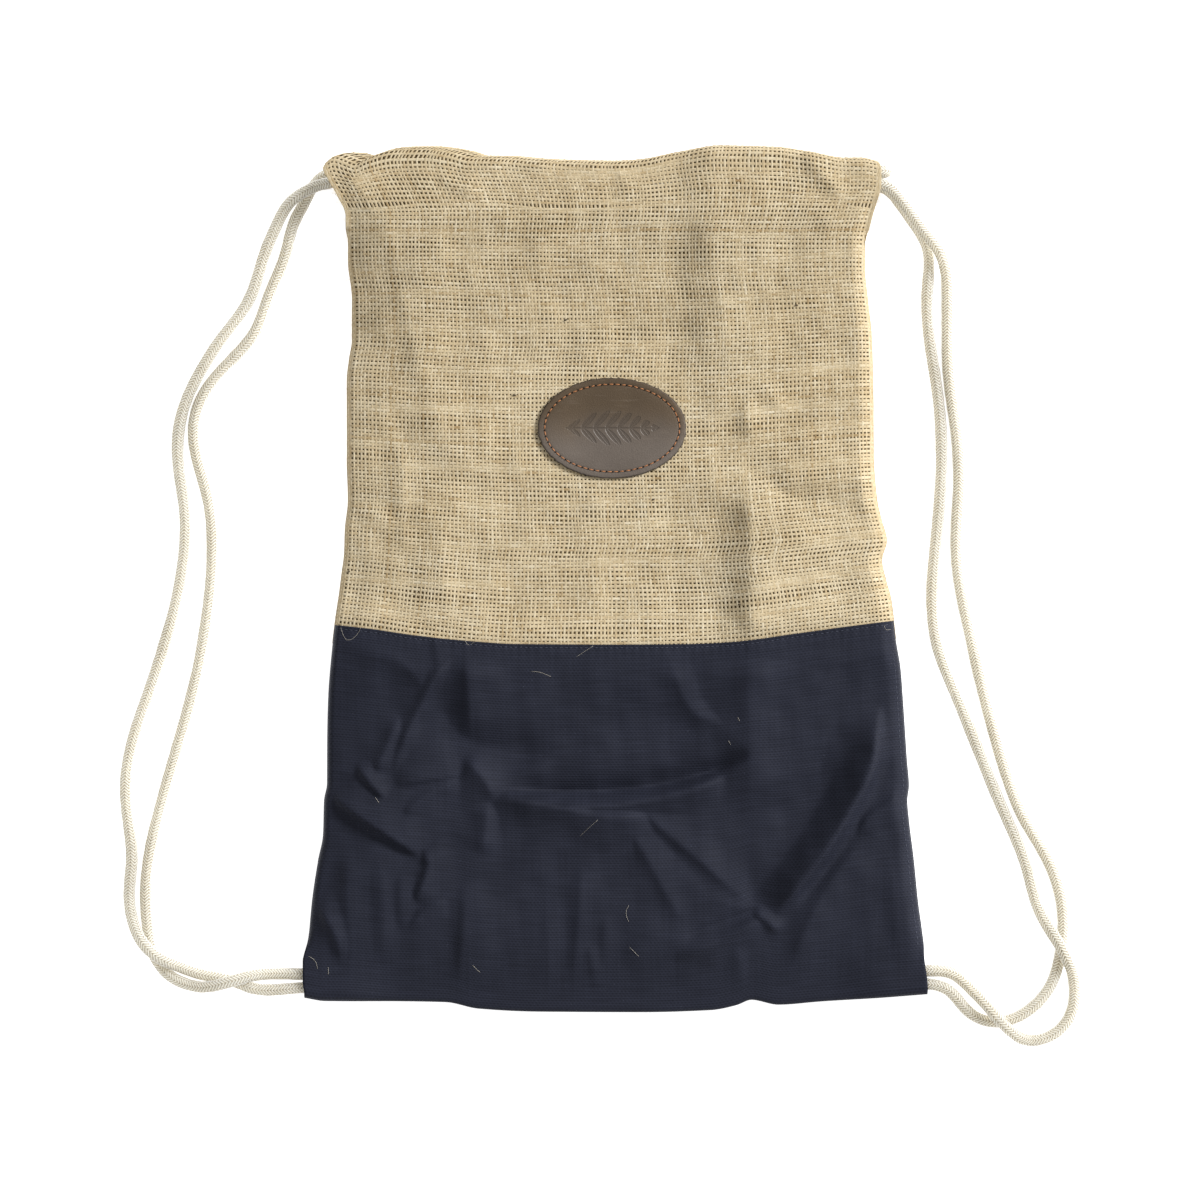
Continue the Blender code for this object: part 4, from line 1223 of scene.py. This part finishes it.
# --- stitches and lint ---
def canvas_stitches():
    rng = np.random.default_rng(19)
    navy = thread("navy_thread", (0.024, 0.027, 0.044), (0.060, 0.067, 0.096))
    x = np.linspace(-151.0, 151.0, 900)
    y = smooth_table(SEAM_LINE, x) - STITCH_INSET
    seam = np.stack([x, y], 1)
    starts, ends = marks_along(seam, *SEAM_STITCH)
    ends = ends + rng.normal(0, 0.10, ends.shape)
    side_y = np.linspace(-40.0, -204.0, 500)
    side = np.stack([smooth_table(RIGHT_SIDE, side_y) - SIDE_STITCH_INSET, side_y], 1)
    side_starts, side_ends = marks_along(side, *SIDE_STITCH)
    starts = np.concatenate([starts, side_starts])
    ends = np.concatenate([ends, side_ends])
    starts = np.column_stack([starts, canvas_top(*starts.T) - 0.02])
    ends = np.column_stack([ends, canvas_top(*ends.T) - 0.02])
    pinched_threads("canvas_stitches", starts, ends, STITCH_THICK, navy, "canvas")


# pale fibres that cling to the canvas, as points (X, Y)
LINT = [
    [(-150, -26), (-146, -33), (-142, -31), (-139, -26)],
    [(-82, -33), (-80, -35.5), (-77, -34)],
    [(-12, -36), (-15, -38), (-21, -42)],
    [(147, -24.5), (148, -27), (151, -27)],
    [(-46, -50), (-41, -50.5), (-35, -53)],
    [(7.5, -178), (6, -182), (7.5, -187)],
    [(-19, -140), (-14, -135), (-9.5, -131)],
    [(67, -75), (68, -77)],
    [(62, -88), (63, -90)],
    [(-157, -212), (-157, -216)],
    [(-78, -211), (-74, -215)],
    [(8, -201), (13, -206)],
    [(-131, -119), (-129, -122)],
    [(-168, -206), (-164, -209), (-163, -213)],
]


def canvas_lint():
    pale = thread("pale_fibre", (0.30, 0.27, 0.22), (0.62, 0.58, 0.50))
    curves = []
    for line in LINT:
        x, y = spline(line, 0.1).T
        pick = np.linspace(0, len(x) - 1, 9).astype(int)
        x, y = x[pick], y[pick]
        curves.append(np.stack([x, y, canvas_top(x, y) + 0.15], 1))
    loose_fibres("canvas_lint", curves, LINT_THICK, pale, "canvas")


HAIRS = 300
EDGE_HAIRS = 150
# dark bits of husk in the burlap's yarns, as (X, Y)
HUSKS = [(-27.0, 142.0), (-146.0, 4.5), (68.0, -13.5), (-55.0, 101.0), (21.0, 44.0), (99.0, 150.0)]


def burlap_hairs():
    """Short jute hairs that stand off the yarns, most of all at the edges, and bits of husk."""
    rng = np.random.default_rng(61)
    curves = []
    share = np.linspace(0, 1, 6)
    for number in range(HAIRS + EDGE_HAIRS):
        u, path = rng.uniform(0.02, 0.98), rng.uniform(0.04, 1.9)
        if number >= HAIRS:
            edge = rng.integers(0, 3)
            u = (0.0, 1.0, rng.uniform(0.03, 0.97))[edge]
            path = rng.uniform(0.05, 1.5) if edge < 2 else 2.4
        root = burlap_point(np.array([u]), np.array([path]), True)[0]
        heading = rng.uniform(0, 2 * np.pi)
        if number >= HAIRS:
            heading = (np.pi, 0.0, np.pi / 2)[edge] + rng.normal(0, 0.8)
        reach = rng.uniform(*(HAIR_REACH if number < HAIRS else EDGE_HAIR_REACH))
        turn = rng.normal(0, 1.3) * share
        x = root[0] + np.cumsum(np.cos(heading + turn)) * reach / 6
        y = root[1] + np.cumsum(np.sin(heading + turn)) * reach / 6
        z = root[2] + 0.35 + rng.uniform(0.2, 0.9) * np.sin(share * np.pi * 0.8)
        curves.append(np.stack([x, y, z], 1))
    hair = thread("jute_hair", (0.40, 0.28, 0.14), (0.72, 0.60, 0.40))
    loose_fibres("burlap_hairs", curves, HAIR_THICK, hair, "burlap")
    husks = np.array(HUSKS)
    lean = rng.uniform(-0.5, 0.5, len(husks))
    half = np.stack([np.cos(lean), np.sin(lean)], 1) * rng.uniform(0.8, 1.5, (len(husks), 1))
    x, y = husks.T
    z = front_height(x, y) + 0.35
    z = z + PLY_STEP * lap_height(x, y, ease_down=False)
    starts = np.column_stack([husks - half, z])
    ends = np.column_stack([husks + half, z])
    dark = thread("dark_husk", (0.045, 0.032, 0.018), (0.10, 0.07, 0.04))
    pinched_threads("burlap_husks", starts, ends, 0.9, dark, "burlap")


# --- floor, light and camera ---
def add_camera():
    data = bpy.data.cameras.new("camera")
    data.sensor_width = SENSOR
    data.lens = SENSOR * VIEW_DISTANCE / VIEW_WIDTH
    camera = bpy.data.objects.new("camera", data)
    camera.location = (VIEW_CENTRE[0] * MM, VIEW_CENTRE[1] * MM, VIEW_DISTANCE * MM)
    bpy.context.scene.collection.objects.link(camera)
    bpy.context.scene.camera = camera


def add_studio():
    """A pale floor, even light from all round, and one wide lamp at the upper right."""
    deselect()
    bpy.ops.mesh.primitive_plane_add(size=6)
    floor = active_mesh("floor")
    paint = Paint("pale_floor", 0.9, shine=0.1)
    paint.set("Base Color", (0.93, 0.93, 0.93, 1))
    paint.set("Emission Color", (1, 1, 1, 1))
    paint.set("Emission Strength", FLOOR_GLOW)
    floor.data.materials.append(paint.material)
    world = bpy.data.worlds.new("studio")
    world.use_nodes = True
    world.node_tree.nodes["Background"].inputs["Color"].default_value = (1, 1, 1, 1)
    world.node_tree.nodes["Background"].inputs["Strength"].default_value = WORLD_LIGHT
    bpy.context.scene.world = world
    data = bpy.data.lights.new("key_lamp", "AREA")
    data.shape = "DISK"
    data.size = KEY_SIZE
    data.energy = KEY_POWER
    lamp = bpy.data.objects.new("key_lamp", data)
    bpy.context.scene.collection.objects.link(lamp)
    lamp.location = KEY_PLACE
    lamp.rotation_euler = lamp.location.to_track_quat("Z", "Y").to_euler()
    bpy.context.scene.view_settings.view_transform = "Standard"


# --- the bag ---
add_camera()
add_studio()
COTTON = cotton_cord()
FUZZ_SHADE = jute_fuzz_painted_shade()
JUTE = {"warp": jute("jute_warp", "Y"), "weft": jute("jute_weft", "X")}
LEFT_ROUTE = whole_cord(LEFT_FRONT_STRAND, LEFT_REAR_STRAND, RIGHT_TURN_X, UPPER_SLOT_Y, 1)
RIGHT_ROUTE = whole_cord(RIGHT_FRONT_STRAND, RIGHT_REAR_STRAND, LEFT_TURN_X, LOWER_SLOT_Y, -1)
braided_cord("braided_cord_left", "cord_left", LEFT_ROUTE)
braided_cord("braided_cord_right", "cord_right", RIGHT_ROUTE)
burlap_panel("front", 4, 11)
burlap_panel("back", 3, 47)
canvas_base()
leather_patch()
canvas_stitches()
canvas_lint()
burlap_hairs()

bpy.context.view_layer.update()
